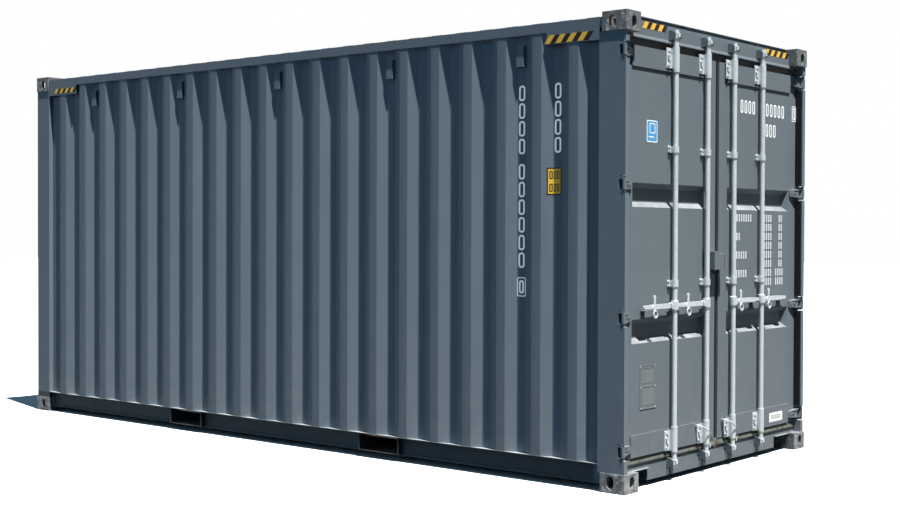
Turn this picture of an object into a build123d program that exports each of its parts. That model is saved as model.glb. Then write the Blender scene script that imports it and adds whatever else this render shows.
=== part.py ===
from build123d import *
import os
from math import pi, radians, tan

# Twenty-foot high-cube dry container. X runs along the length with the doors at +X,
# Z is up, and the origin is at the middle of the underside. Sizes in millimetres.

# Overall size
length = 6058.0
width = 2438.0
height = 2896.0
half_l = length / 2
half_w = width / 2

# Corner castings: a hollow block with three oblong holes into one cavity
casting_l = 178.0
casting_w = 162.0
casting_h = 118.0
casting_skin = 28.0          # outer walls, which carry the lifting load
casting_web = 14.0           # walls that are welded to the frame
casting_round = 10.0
lift_slot_l = 124.0
lift_slot_w = 63.5
lift_slot_end = 102.5        # slot centre from the end face
lift_slot_side = 89.5        # slot centre from the side face
lash_slot_l = 76.0
lash_slot_w = 51.0
lash_slot_rise = 65.0        # centre from the casting's outer horizontal face
lash_slot_end = 105.0
lash_slot_side = 80.0

# Corner posts
skin_inset = 6.0             # post and rail faces behind the castings' side faces
front_inset = 11.0           # front frame behind the castings' end faces
front_post_l = 170.0
front_post_w = 100.0
front_post_lip = 43.0
front_post_toe = 58.0
post_plate = 6.0
rear_post_l = 189.0
rear_post_w = 40.0
rear_inset = 11.0

# Rails along the sides
top_rail = 60.0
top_rail_plate = 3.0
top_rail_drop = 30.0         # top of the rail below the top of the castings
plate_l = 390.0              # corner plates beside the posts
plate_drop = 76.0
rail_plate = 4.5
rail_flange = 48.0
rail_toe = 30.0
rail_top = 169.5
rail_bottom = 45.0

# Corrugated side walls
side_pitch = 278.0
side_ridge = 72.0
side_recess = 70.0
side_depth = 36.0
side_sheet = 2.0
side_inset = 2.0             # ridges behind the rail face

# Corrugated front wall
front_pitch = 250.0
front_ridge = 110.0
front_recess = 104.0
front_depth = 40.0
front_sheet = 2.0
front_wall_inset = 4.0

# Roof
roof_pitch = 209.0
roof_rib_foot = 130.0
roof_rib_rise = 20.0
roof_rib_taper = 45.0
roof_sheet = 2.0
roof_margin = 75.0           # flat edge beside the ribs' ends
roof_end_flat = 60.0         # least flat past the last rib
roof_edge = 8.0              # rail top left bare beside the sheet

# Front cross rails
front_rail_l = 60.0
front_sill_l = 78.0
front_sill_top = 150.0
front_sill_bottom = 36.0
end_plate = 4.5

# Door header and sill
door_face_inset = 67.0       # header and sill faces behind the castings' end faces
header_l = 80.0
header_drop = 110.0          # depth of the header below the roof sheet
header_front_h = 90.0
header_step = 22.0
header_back_l = 105.0
drip_reach = 6.0            # sloped drip edge along the header's foot
drip_h = 22.0
sill_l = 92.0
sill_top = 150.0
sill_bottom = 36.0
sill_notch_w = 200.0
sill_notch_top = 112.0
notch_lip = 18.0

# Floor
floor_top = 175.0
floor_board = 28.0
floor_boards_count = 5
floor_gap = 3.0
beam_h = 100.0
beam_flange = 45.0
beam_plate = 4.0
beam_pitch = 290.0

# Fork pockets
pocket_spacing = 2050.0
pocket_w = 360.0
pocket_top = 165.0
pocket_floor = 52.0
pocket_plate = 4.0
strap_l = 200.0

# Doors
door_side_gap = 10.0         # leaf clear of the post
door_meet = 24.0             # meeting edge from the middle
door_low_gap = 46.0          # leaf above the sill
door_high_gap = 50.0         # leaf below the header
door_thick = 50.0
door_face = 65.0             # leaf face behind the castings' end faces
stile_w = 100.0
rail_h_top = 126.0
rail_h_bottom = 137.0
door_frame_plate = 4.0
rail_proud = 8.0
panel_sheet = 2.0
band_depth = 36.0
band_flat = 84.0
band_slope = 32.0
low_band_rise = 726.0        # lower band's flat above the foot of the leaf
high_band_drop = 949.0       # upper band's flat below the head of the leaf
band_end = 14.0              # panel left flat past a band's end

# Gaskets
seal_gap_side = 5.0          # gasket clear of the post
seal_gap_level = 5.0         # gasket clear of header and sill
seal_gap_meet = 4.0          # gasket clear of the middle plane
seal_thick = 22.0
seal_set = 14.0              # gasket behind the leaf's face
seal_lip = 6.0               # weather lip at the foot in front of the leaf's face

# Hinges
pin_end_inset = 23.0         # pin behind the castings' end faces
pin_side_inset = 8.0         # pin inside the post's side face
pin_r = 7.0
pin_gap = 0.5
pin_head_r = 8.0
pin_head_h = 4.0
hinge_count = 4
hinge_low = 56.0             # lowest hinge above the foot of the leaf
hinge_high = 46.0            # highest hinge below the head of the leaf
blade_h = 62.0
boss_r = 12.0
blade_gap = 5.0              # blade clear of the post's corners
blade_reach = 98.0           # blade over the leaf
blade_end = 8.0
blade_taper = 9.0
blade_rib = 9.0              # raised rib along the blade's top and bottom edge
blade_dish = 3.0             # face between the ribs set back
lug_h = 15.0
lug_gap = 1.0
lug_r = 10.0
notch_depth = 45.0
notch_gap = 4.0

# Locking bars
bar_stand = 30.0             # bar axis in front of the leaf's face
bar_meet = 156.0             # inner bar from the meeting edge
bar_clear = 38.0             # inner handle's end to the outer bar's axis
handle_margin = 163.0        # outer handle's end to the hinge edge of the leaf
bar_r = 17.0
bar_wall = 3.5
bar_over = 6.0               # bar past its keepers
cam_h = 34.0
cam_nose = 28.0
cam_boss = 22.0
collar_r = 22.0
collar_h = 12.0
keeper_half = 39.0
keeper_plate = 5.0
keeper_reach = 50.0
keeper_h = 58.0
keeper_below = 1.0           # low keeper's top under the top of the sill
keeper_above = 8.0           # high keeper's top under the header's front edge

# Bar bearings on the doors
bearing_gap = 0.5
bearing_wall = 4.5
bearing_foot = 3.0
sleeve_h = 146.0
sleeve_over = 32.0           # top sleeve past the head of the leaf
sleeve_under = 12.0          # bottom sleeve past the foot of the leaf
guide_h = 42.0
guide_drop = 634.0           # upper guide's foot below the head of the leaf
guide_rise = 117.0           # lower guide's foot above the handles
bearing_plate_w = 62.0
bearing_plate_t = 5.0
bearing_plate_in = 10.0      # bolt plate shorter than its sleeve at each end
guide_plate_w = 26.0

# Handles
handle_rise = 914.0          # handles above the foot of the leaf
handle_h = 30.0
handle_tip_h = 20.0
handle_taper = 120.0
handle_t = 10.0
handle_pin = 38.0            # lift pivot from the bar's axis
handle_pin_r = 5.0
handle_pin_gap = 0.4
handle_nose = 15.0
hub_h = 64.0
hub_r = 24.0
ear_t = 5.0
ear_gap = 1.0
ear_h = 40.0
ear_reach = 54.0
catch_back = 118.0           # left leaf's catches from their handle's end
catch_near = 94.0            # right leaf's catches from their bar's axis
catch_t = 5.0
catch_w = 30.0
catch_up = 44.0
catch_knob = 11.0
eye_w = 26.0
eye_h = 52.0
eye_hole_w = 11.0
eye_hole_h = 34.0
rest_back = 94.0             # rest plate's near end from the handle's end
rest_short = 8.0             # rest plate's far end short of the handle's end
rest_down = 50.0
rest_up = 14.0
rest_cut = 16.0
rest_plate = 4.0
rest_gap = 5.0
rest_shelf = 5.0

# Lock box over the meeting edges
box_rise = 1131.0            # foot of the box above the foot of the leaf
box_h = 120.0
box_step = 16.0              # part over the meeting edges lower than the rest
box_left = -131.0
box_split = -60.0
box_right = 36.0
box_gap = 6.0
box_deep = 60.0
box_plate = 5.0
staple_w = 50.0
staple_h = 58.0
staple_t = 8.0
staple_hole_r = 9.0

# Side ventilators
vent_every = 4               # corrugations from one ventilator to the next
vent_count = 5
vent_w = 56.0
vent_h = 140.0
vent_drop = 54.0             # top of the hood below the side rail
vent_deep = 26.0
vent_slope = 16.0
vent_plate = 2.5
vent_slot = 12.0

# Hold-back ropes, one beside each inner bar: points from the bar's axis and the sleeve's top
rope_r = 3.5
rope_eye = 14.0
rope_points = (
    (-9.0, -98.0, -14.0), (14.0, -98.0, -14.0), (31.4, -66.0, -30.0), (31.4, -30.0, -50.0),
    (31.4, 6.0, -72.0), (25.0, 34.0, -98.0), (16.0, 40.0, -126.0), (12.0, 38.0, -150.0),
    (10.0, 36.0, -170.0),
)

# Derived planes
side_y = half_w - skin_inset
front_x = -half_l + front_inset
rear_x = half_l - rear_inset
rail_z1 = height - top_rail_drop
rail_z0 = rail_z1 - top_rail
casting_x0 = half_l - casting_l
casting_y0 = half_w - casting_w
face_x = half_l - door_face_inset
leaf_x = half_l - door_face
ridge_y = side_y - side_inset
rear_post_x = rear_x - rear_post_l
rear_post_y = side_y - rear_post_w
front_post_x = front_x + front_post_l
web_y = side_y - rail_flange
header_bottom = rail_z1 - header_drop
header_front = header_bottom + header_front_h
door_edge = rear_post_y - door_side_gap
door_bottom = sill_top + door_low_gap
door_top = header_bottom - door_high_gap
band_lows = (door_bottom + low_band_rise, door_top - high_band_drop)
pin_x = half_l - pin_end_inset
pin_y = side_y - pin_side_inset
hinge_span = door_top - hinge_high - door_bottom - hinge_low
hinge_heights = [door_bottom + hinge_low + i * hinge_span / (hinge_count - 1) for i in range(hinge_count)]
bar_x = leaf_x + bar_stand
handle_l = (door_edge - door_meet - bar_meet - handle_margin) / 2 - bar_clear
catch_far = handle_l - catch_back
rest_near = handle_l - rest_back
bar_ys = (door_meet + bar_meet + handle_l + bar_clear, door_meet + bar_meet)
keeper_low = (sill_top - keeper_below - keeper_h, sill_top - keeper_below)
keeper_high = (header_front - keeper_above - keeper_h, header_front - keeper_above)
bar_bottom = keeper_low[0] - bar_over
bar_top = keeper_high[1] + bar_over
handle_z = door_bottom + handle_rise
top_sleeve = (door_top + sleeve_over - sleeve_h, door_top + sleeve_over)
bottom_sleeve = (door_bottom - sleeve_under, door_bottom - sleeve_under + sleeve_h)
guides = (
    (door_top - guide_drop, door_top - guide_drop + guide_h),
    (handle_z + guide_rise, handle_z + guide_rise + guide_h),
)
box_low = door_bottom + box_rise
roof_ribs = int((2 * (casting_x0 - roof_end_flat) - roof_rib_foot) // roof_pitch) + 1


def block(x0, x1, y0, y1, z0, z1):
    """Solid block between two corners."""
    return Pos((x0 + x1) / 2, (y0 + y1) / 2, (z0 + z1) / 2) * Box(x1 - x0, y1 - y0, z1 - z0)


def face_of(points):
    """Flat face inside a closed outline."""
    return make_face(Polyline(*points, close=True))


def prism_x(points, x0, x1):
    """Outline in (y, z) run along X."""
    return extrude(Plane.YZ.offset(x0) * face_of(points), x1 - x0)


def prism_y(points, y0, y1):
    """Outline in (x, z) run along Y."""
    return extrude(Plane.XZ.offset(-y1) * face_of(points), y1 - y0)


def prism_z(points, z0, z1):
    """Outline in (x, y) run along Z."""
    return extrude(Plane.XY.offset(z0) * face_of(points), z1 - z0)


def hollow(face, plate):
    """Closed section with an even wall."""
    return face - offset(face, -plate, kind=Kind.INTERSECTION)


def other_side(shape):
    """The same piece on the other long side."""
    return mirror(shape, about=Plane.XZ)


def other_end(shape):
    """The same piece at the other end."""
    return mirror(shape, about=Plane.YZ)


def joined(pieces):
    """Separate solids kept in one list."""
    return Compound(children=[p for piece in pieces for p in piece.solids()])


def save(name, pieces):
    """Write one sub-part."""
    export_step(joined(pieces), f"parts/{name}.step")


def corner_casting():
    """Bottom casting at the +X, +Y corner."""
    body = block(casting_x0, half_l, casting_y0, half_w, 0, casting_h)
    body = fillet(body.edges().filter_by(Axis.Z).group_by(Axis.X)[-1], casting_round)
    cavity = block(
        casting_x0 + casting_web, half_l - casting_skin,
        casting_y0 + casting_web, half_w - casting_skin,
        casting_skin, casting_h - casting_web,
    )
    body = body - cavity
    lift = Plane.XY * Pos(half_l - lift_slot_end, half_w - lift_slot_side) * SlotOverall(lift_slot_l, lift_slot_w)
    body = body - extrude(lift, casting_h / 2)
    lash = SlotOverall(lash_slot_l, lash_slot_w, rotation=90)
    side = Plane.XZ.offset(-half_w) * Pos(half_l - lash_slot_end, lash_slot_rise) * lash
    body = body - extrude(side, casting_skin + 1)
    end = Plane.YZ.offset(half_l) * Pos(half_w - lash_slot_side, lash_slot_rise) * lash
    return body - extrude(end, -casting_skin - 1)


def four_corners(shape):
    """A corner piece at all four corners."""
    pair = [shape, other_side(shape)]
    return pair + [other_end(piece) for piece in pair]


def at_top(shape):
    """A bottom casting turned over for the top corner."""
    return Pos(0, 0, height) * mirror(shape, about=Plane.XY)


def front_post():
    """Bent hollow post at the blind end, +Y side."""
    x0 = front_x
    x1 = front_post_x
    y1 = side_y
    outline = [
        (x0, y1 - front_post_w), (x0, y1), (x1, y1),
        (x1, y1 - front_post_lip), (x0 + front_post_toe, y1 - front_post_w),
    ]
    section = hollow(face_of(outline), post_plate)
    return extrude(Plane.XY.offset(casting_h) * section, height - 2 * casting_h)


def hinge_room():
    """Half height of the post's notch at a hinge."""
    return blade_h / 2 + lug_gap + lug_h + notch_gap


def rear_post():
    """Hollow door post, +Y side, notched at each hinge."""
    outline = [(rear_post_x, rear_post_y), (rear_x, rear_post_y), (rear_x, side_y), (rear_post_x, side_y)]
    section = hollow(face_of(outline), post_plate)
    post = extrude(Plane.XY.offset(casting_h) * section, height - 2 * casting_h)
    tall = hinge_room()
    floor_x = rear_x - notch_depth
    for z in hinge_heights:
        post = post - block(floor_x, rear_x + 1, rear_post_y - 1, side_y + 1, z - tall, z + tall)
        back = block(floor_x - post_plate, floor_x, rear_post_y, side_y, z - tall, z + tall)
        cap = block(floor_x - post_plate, rear_x, rear_post_y, side_y, 0, post_plate)
        post = post + back + Pos(0, 0, z + tall) * cap + Pos(0, 0, z - tall - post_plate) * cap
    return post


def hinge_lug_set(z):
    """Two lugs in one notch, +Y side, with a bore for the pin."""
    floor_x = rear_x - notch_depth
    ear = block(floor_x, pin_x, pin_y - lug_r, side_y, 0, lug_h)
    tip_r = (side_y - pin_y + lug_r) / 2
    ear = ear + Pos(pin_x, side_y - tip_r, lug_h / 2) * Cylinder(tip_r, lug_h)
    ear = ear - Pos(pin_x, pin_y, lug_h / 2) * Cylinder(pin_r, lug_h + 2)
    upper = Pos(0, 0, z + blade_h / 2 + lug_gap) * ear
    lower = Pos(0, 0, z - blade_h / 2 - lug_gap - lug_h) * ear
    return [upper, lower]


def hinge_pin(z):
    """Headed pin through both lugs, +Y side."""
    tall = blade_h + 2 * (lug_gap + lug_h)
    shank = Pos(pin_x, pin_y, z) * Cylinder(pin_r, tall)
    head = Pos(pin_x, pin_y, z + tall / 2 + pin_head_h / 2) * Cylinder(pin_head_r, pin_head_h)
    return shank + head


def hinge_blade(z):
    """Cast blade from the pin round the post's corner to the leaf, +Y side."""
    face = leaf_x - pin_x
    edge = door_edge - pin_y
    inner = rear_post_y - pin_y
    floor = rear_x - notch_depth - pin_x
    side = side_y - pin_y
    outer = -side - blade_gap
    plan = [
        (0, -boss_r), (outer, inner + blade_gap), (outer, edge - blade_gap),
        (face + blade_end, edge - blade_reach), (face, edge - blade_reach), (face, edge - 1),
        (floor + blade_gap, inner - 1), (floor + blade_gap, inner / 2), (-boss_r, 0),
    ]
    low = z - blade_h / 2
    plate = prism_z([(pin_x + x, pin_y + y) for x, y in plan], low, low + blade_h)
    plate = plate + Pos(pin_x, pin_y, z) * Cylinder(boss_r, blade_h)
    tip = door_edge - blade_reach
    dish = [
        (outer - blade_dish, inner + 2 * blade_gap), (outer + 1, inner + 2 * blade_gap), (outer + 1, edge - blade_gap),
        (face + blade_end + 1, tip - pin_y + blade_rib), (face + blade_end - blade_dish, tip - pin_y + blade_rib),
        (outer - blade_dish, edge - blade_gap),
    ]
    dish_low = low + blade_rib + blade_taper / 2
    dish = prism_z([(pin_x + x, pin_y + y) for x, y in dish], dish_low, 2 * z - dish_low)
    plate = plate - dish
    for s in (1, -1):
        wedge = [
            (tip - 1, z + s * (blade_h / 2 - blade_taper)), (door_edge, z + s * blade_h / 2),
            (door_edge, z + s * blade_h), (tip - 1, z + s * blade_h),
        ]
        plate = plate - prism_x(wedge, leaf_x - 1, pin_x + boss_r)
    return plate - Pos(pin_x, pin_y, z) * Cylinder(pin_r + pin_gap, blade_h + 2)


def top_side_rail():
    """Square tube under the roof edge, +Y side."""
    y0 = side_y - top_rail
    outline = [(y0, rail_z0), (side_y, rail_z0), (side_y, rail_z1), (y0, rail_z1)]
    section = hollow(face_of(outline), top_rail_plate)
    return extrude(Plane.YZ.offset(-casting_x0) * section, 2 * casting_x0)


def corner_plate():
    """Flat plate under the top rail beside a post, over the wall's ridges, +Y side."""
    return block(rear_post_x - plate_l, rear_post_x, ridge_y, side_y, rail_z0 - plate_drop, rail_z0)


def far_corner_plate():
    """The same at the blind end."""
    return block(front_post_x, front_post_x + plate_l, ridge_y, side_y, rail_z0 - plate_drop, rail_z0)


def bottom_side_rail():
    """Channel open outward, +Y side, cut away at the fork pockets."""
    t = rail_plate
    outline = [
        (web_y - t, rail_bottom), (web_y - t + rail_toe, rail_bottom),
        (web_y - t + rail_toe, rail_bottom + t), (web_y, rail_bottom + t),
        (web_y, rail_top - t), (side_y, rail_top - t), (side_y, rail_top), (web_y - t, rail_top),
    ]
    rail = prism_x(outline, -casting_x0, casting_x0)
    for s in (1, -1):
        x = s * pocket_spacing / 2
        rail = rail - block(
            x - pocket_w / 2 - pocket_plate, x + pocket_w / 2 + pocket_plate,
            web_y - t - 1, side_y + 1, rail_bottom - 1, pocket_top,
        )
    rail = rail - block(-half_l, front_post_x, web_y - t - 1, side_y + 1, casting_h, rail_top + 1)
    return rail - block(rear_post_x, half_l, web_y - t - 1, side_y + 1, casting_h, rail_top + 1)


def wave(start, end, pitch, ridge, recess, phase):
    """Ridge and recess corners along a corrugated sheet: (run, depth share)."""
    slope = (pitch - ridge - recess) / 2
    points = [(start, 1.0)]
    k = int((start - phase) // pitch) - 1
    while phase + k * pitch < end:
        ridge_at = phase + (k + 0.5) * pitch
        four = [
            (ridge_at - ridge / 2 - slope, 1.0), (ridge_at - ridge / 2, 0.0),
            (ridge_at + ridge / 2, 0.0), (ridge_at + ridge / 2 + slope, 1.0),
        ]
        if four[0][0] > start and four[3][0] < end:
            points = points + four
        k = k + 1
    return points + [(end, 1.0)]


def side_wall():
    """Corrugated side sheet, +Y side, with vertical ridges."""
    line = wave(front_post_x, rear_post_x, side_pitch, side_ridge, side_recess, 0.0)
    outer = [(x, ridge_y - side_depth * d) for x, d in line]
    inner = [(x, y - side_sheet) for x, y in reversed(outer)]
    return prism_z(outer + inner, rail_top, rail_z0)


def front_wall():
    """Corrugated blind-end sheet between the front posts."""
    reach = side_y - front_post_w
    line = wave(-reach, reach, front_pitch, front_ridge, front_recess, 0.0)
    x0 = front_x + front_wall_inset
    outer = [(x0 + front_depth * d, y) for y, d in line]
    inner = [(x + front_sheet, y) for x, y in reversed(outer)]
    wall = prism_z(outer + inner, front_sill_top, rail_z0)
    for s in (1, -1):
        ys = sorted((s * casting_y0, s * half_w))
        wall = wall - block(-half_l, -casting_x0, ys[0], ys[1], height - casting_h, height)
    return wall


def roof_panel():
    """Pressed roof sheet with raised cross ribs, and a plate over each end rail."""
    reach_y = side_y - roof_edge
    top = rail_z1 + roof_sheet
    sheet = block(-casting_x0, casting_x0, -reach_y, reach_y, rail_z1, top)
    front_plate = block(front_x, -casting_x0, -casting_y0, casting_y0, rail_z1, top)
    rear_plate = block(casting_x0, face_x - header_step, -casting_y0, casting_y0, rail_z1, top)
    foot = Rectangle(roof_rib_foot, 2 * (reach_y - roof_margin))
    bore = Rectangle(roof_rib_foot - 2 * roof_sheet, 2 * (reach_y - roof_margin - roof_sheet))
    rib = extrude(foot, roof_rib_rise, taper=roof_rib_taper)
    hole = extrude(bore, roof_rib_rise, taper=roof_rib_taper)
    for i in range(roof_ribs):
        x = (i - (roof_ribs - 1) / 2) * roof_pitch
        sheet = sheet + Pos(x, 0, rail_z1 + roof_sheet) * rib
        sheet = sheet - Pos(x, 0, rail_z1) * hole
        sheet = sheet - Pos(x, 0, rail_z1 - 1) * extrude(bore, 1.5)
    return [sheet, front_plate, rear_plate]


def front_top_rail():
    """Square tube between the front top castings."""
    x1 = front_x + front_rail_l
    outline = [(front_x, rail_z0), (x1, rail_z0), (x1, rail_z1), (front_x, rail_z1)]
    section = hollow(face_of(outline), end_plate)
    return extrude(Plane.XZ.offset(-casting_y0) * section, 2 * casting_y0)


def front_sill():
    """Box section between the front bottom castings."""
    x1 = front_x + front_sill_l
    outline = [
        (front_x, front_sill_bottom), (x1, front_sill_bottom),
        (x1, front_sill_top), (front_x, front_sill_top),
    ]
    section = hollow(face_of(outline), end_plate)
    return extrude(Plane.XZ.offset(-casting_y0) * section, 2 * casting_y0)


def cross_rail(section, low, high):
    """Door-end cross member, with a filler strip to each post past the castings."""
    reach = rear_post_y
    main = extrude(Plane.XZ.offset(-casting_y0) * section, 2 * casting_y0)
    filler = extrude(Plane.XZ.offset(-reach) * section, reach - casting_y0)
    filler = filler & block(0, half_l, casting_y0, reach, low, high)
    return [main, filler, other_side(filler)]


def door_header():
    """Stepped box section over the doors, with a drip edge along its foot."""
    x0 = face_x - header_step
    outline = [
        (face_x - header_l, header_bottom), (face_x, header_bottom), (face_x, header_front),
        (x0, header_front), (x0, rail_z1), (x0 - header_back_l, rail_z1),
        (x0 - header_back_l, header_front), (face_x - header_l, header_front),
    ]
    section = hollow(face_of(outline), end_plate)
    header = cross_rail(section, 0, height - casting_h)
    drip = [
        (face_x, header_bottom), (face_x + drip_reach, header_bottom + 2),
        (face_x + drip_reach, header_bottom + 5), (face_x, header_bottom + drip_h),
    ]
    header[0] = header[0] + prism_y(drip, -casting_y0, casting_y0)
    for i, s in ((1, 1), (2, -1)):
        ys = sorted((s * casting_y0, s * rear_post_y))
        header[i] = header[i] + prism_y(drip, ys[0], ys[1])
    return header


def door_sill():
    """Box section under the doors, notched and lipped beside each casting."""
    x0 = face_x - sill_l
    outline = [(x0, sill_bottom), (face_x, sill_bottom), (face_x, sill_top), (x0, sill_top)]
    section = hollow(face_of(outline), end_plate)
    sill, filler, other_filler = cross_rail(section, casting_h, height)
    y0 = casting_y0 - sill_notch_w
    notch = block(x0 + end_plate, face_x + 1, y0, casting_y0, 0, sill_notch_top)
    jamb = block(x0 + end_plate, face_x - end_plate, y0 - end_plate, y0, sill_bottom + end_plate, sill_notch_top)
    sill = sill - notch - other_side(notch) + jamb + other_side(jamb)
    lip = block(face_x, face_x + notch_lip, y0, casting_y0, sill_notch_top, sill_notch_top + end_plate)
    return [sill, filler, other_filler, lip, other_side(lip)]


def floor_planks():
    """Laid floor sheets that run along the cargo space."""
    x0 = front_x + front_sill_l
    x1 = face_x - sill_l
    reach = web_y - rail_plate - floor_gap
    plank = (2 * reach - (floor_boards_count - 1) * floor_gap) / floor_boards_count
    post_y = side_y - front_post_w - floor_gap
    foot = block(-half_l, front_post_x + floor_gap, post_y, half_w, 0, casting_h + floor_top)
    planks = []
    for i in range(floor_boards_count):
        y0 = -reach + i * (plank + floor_gap)
        board = block(x0, x1, y0, y0 + plank, floor_top - floor_board, floor_top)
        planks.append(board - foot - other_side(foot))
    return planks


def beam(x):
    """Channel cross member between the side rails."""
    z1 = floor_top - floor_board
    z0 = z1 - beam_h
    t = beam_plate
    outline = [
        (x, z0), (x + beam_flange, z0), (x + beam_flange, z0 + t), (x + t, z0 + t),
        (x + t, z1 - t), (x + beam_flange, z1 - t), (x + beam_flange, z1), (x, z1),
    ]
    return prism_y(outline, -(web_y - rail_plate), web_y - rail_plate)


def beam_places():
    """Where the cross members stand, clear of the fork pockets."""
    x0 = front_x + front_sill_l
    x1 = face_x - sill_l
    count = int((x1 - x0) // beam_pitch)
    places = []
    for i in range(1, count + 1):
        x = x0 + i * (x1 - x0) / (count + 1)
        near = min(abs(x + beam_flange / 2 - s * pocket_spacing / 2) for s in (1, -1))
        if near > pocket_w / 2 + beam_flange + beam_flange / 2 + 2 * pocket_plate:
            places.append(x)
    return places


def fork_pocket(x):
    """Tunnel for a lifting fork: two channels, a roof plate and two end straps."""
    z1 = floor_top - floor_board
    z0 = pocket_floor - pocket_plate
    half = pocket_w / 2
    reach = web_y - rail_plate
    t = pocket_plate
    cheek = [
        (x + half, z0), (x + half + beam_flange, z0), (x + half + beam_flange, z0 + t),
        (x + half + t, z0 + t), (x + half + t, z1 - t), (x + half + beam_flange, z1 - t),
        (x + half + beam_flange, z1), (x + half, z1),
    ]
    cheeks = prism_y(cheek, -reach, reach)
    cheeks = cheeks + mirror(cheeks, about=Plane.YZ.offset(x))
    roof = block(x - half, x + half, -reach, reach, z1 - t, z1)
    tunnel = cheeks + roof
    for s in (1, -1):
        ys = sorted((s * reach, s * (reach - strap_l)))
        tunnel = tunnel + block(x - half, x + half, ys[0], ys[1], z0, pocket_floor)
        y_out = sorted((s * reach, s * side_y))
        frame = block(x - half - t, x + half + t, y_out[0], y_out[1], z0, pocket_top)
        mouth = block(x - half, x + half, y_out[0] - 1, y_out[1] + 1, pocket_floor, pocket_top + 1)
        tunnel = tunnel + (frame - mouth)
    return tunnel


def vent(x):
    """Ventilator hood in a wall recess, +Y side, open below and towards the doors."""
    y0 = ridge_y - side_depth
    y1 = y0 + vent_deep
    z1 = rail_z0 - vent_drop
    z0 = z1 - vent_h
    t = vent_plate
    hood = prism_x([(y0, z0), (y1, z0), (y1, z1 - vent_slope), (y0, z1)], x - vent_w / 2, x + vent_w / 2)
    inside = prism_x(
        [(y0 + t, z0 - 1), (y1 - t, z0 - 1), (y1 - t, z1 - vent_slope - t), (y0 + t, z1 - 2 * t)],
        x - vent_w / 2 + t, x + vent_w / 2 - t,
    )
    slot = block(x + vent_w / 2 - t - 1, x + vent_w / 2 + 1, y0 + t, y0 + t + vent_slot, z0 + t, z1 - vent_slope - t)
    return hood - inside - slot


def keeper(y, low, high):
    """Cast keeper: a back plate with two rounded horns beside the cam."""
    x1 = face_x + keeper_reach
    plate = block(face_x, face_x + keeper_plate, y - keeper_half, y + keeper_half, low, high)
    horn = [
        (face_x, low), (face_x + keeper_reach / 2, low), (x1, low + keeper_h / 4),
        (x1, low + 3 * keeper_h / 4), (face_x + keeper_reach / 2, high), (face_x, high),
    ]
    side = prism_y(horn, y + keeper_half - keeper_plate, y + keeper_half)
    side = fillet(side.edges().filter_by(Axis.Y).group_by(Axis.X)[-1], keeper_h / 6)
    return plate + side + mirror(side, about=Plane.XZ.offset(-y))


def door_frame():
    """Welded frame of the +Y leaf: two stiles and two rails."""
    back = leaf_x - door_thick
    tube = hollow(face_of([
        (back, door_meet), (leaf_x, door_meet), (leaf_x, door_meet + stile_w), (back, door_meet + stile_w),
    ]), door_frame_plate)
    stile = extrude(Plane.XY.offset(door_bottom) * tube, door_top - door_bottom)
    hinge_stile = Pos(0, door_edge - door_meet - stile_w, 0) * stile
    y0 = door_meet + stile_w
    y1 = door_edge - stile_w
    t = door_frame_plate
    rail = [
        (back, door_bottom), (leaf_x + rail_proud, door_bottom), (leaf_x + rail_proud, door_bottom + rail_h_bottom),
        (leaf_x + rail_proud - t, door_bottom + rail_h_bottom), (leaf_x + rail_proud - t, door_bottom + t),
        (back, door_bottom + t),
    ]
    lower = prism_y(rail, y0, y1)
    upper = [
        (back, door_top), (leaf_x + rail_proud, door_top), (leaf_x + rail_proud, door_top - rail_h_top),
        (leaf_x + rail_proud - t, door_top - rail_h_top), (leaf_x + rail_proud - t, door_top - t),
        (back, door_top - t),
    ]
    return stile + hinge_stile + lower + prism_y(upper, y0, y1)


def door_panel():
    """Pressed sheet of the +Y leaf with two level recessed bands."""
    y0 = door_meet + stile_w
    y1 = door_edge - stile_w
    z0 = door_bottom + door_frame_plate
    z1 = door_top - door_frame_plate
    sheet = block(leaf_x - panel_sheet, leaf_x, y0, y1, z0, z1)
    wide = y1 - y0 - 2 * band_end
    for low in band_lows:
        mid_z = low + band_flat / 2
        mid_y = (y0 + y1) / 2
        foot = Plane.YZ.offset(leaf_x) * Pos(mid_y, mid_z) * Rectangle(wide, band_flat + 2 * band_slope)
        head = Plane.YZ.offset(leaf_x - band_depth) * Pos(mid_y, mid_z) * Rectangle(wide - 2 * band_slope, band_flat)
        tray = loft([foot.faces()[0], head.faces()[0]])
        back = Pos(-panel_sheet, 0, 0) * tray
        sheet = (sheet + back) - tray
    return sheet


def gasket():
    """Rubber seal round the +Y leaf."""
    x1 = leaf_x - seal_set
    x0 = x1 - seal_thick
    y1 = rear_post_y - seal_gap_side
    z0 = sill_top + seal_gap_level
    outer = block(x0, x1, seal_gap_meet, y1, z0, header_bottom - seal_gap_level)
    inner = block(x0 - 1, x1 + 1, door_meet, door_edge, door_bottom, door_top)
    lip = [
        (x0, z0), (leaf_x + seal_lip, z0), (leaf_x + seal_lip, z0 + 6),
        (leaf_x - seal_lip, door_bottom), (x0, door_bottom),
    ]
    return (outer - inner) + prism_y(lip, seal_gap_meet, y1)


def bearing(y, low, high, seat, plate_w, plate_in):
    """Sleeve round a locking bar with a bolt plate on its -Y side; its foot is on the seat plane."""
    r = bar_r + bearing_gap
    outer_r = r + bearing_wall
    mid = (low + high) / 2
    ring = Pos(bar_x, y, mid) * Cylinder(outer_r, high - low)
    ring = ring - block(leaf_x - half_w, seat, y - half_w, y + half_w, low, high)
    base = block(seat, bar_x, y - outer_r, y + outer_r, low + plate_in, high - plate_in)
    plate = block(
        seat, seat + bearing_plate_t, y - outer_r - plate_w, y, low + plate_in, high - plate_in,
    )
    hole = Pos(bar_x, y, mid) * Cylinder(r, high - low + 2)
    plate = chamfer(plate.edges().filter_by(Axis.X).group_by(Axis.Y)[0], bearing_plate_t)
    return (ring + base + plate) - hole


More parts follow.
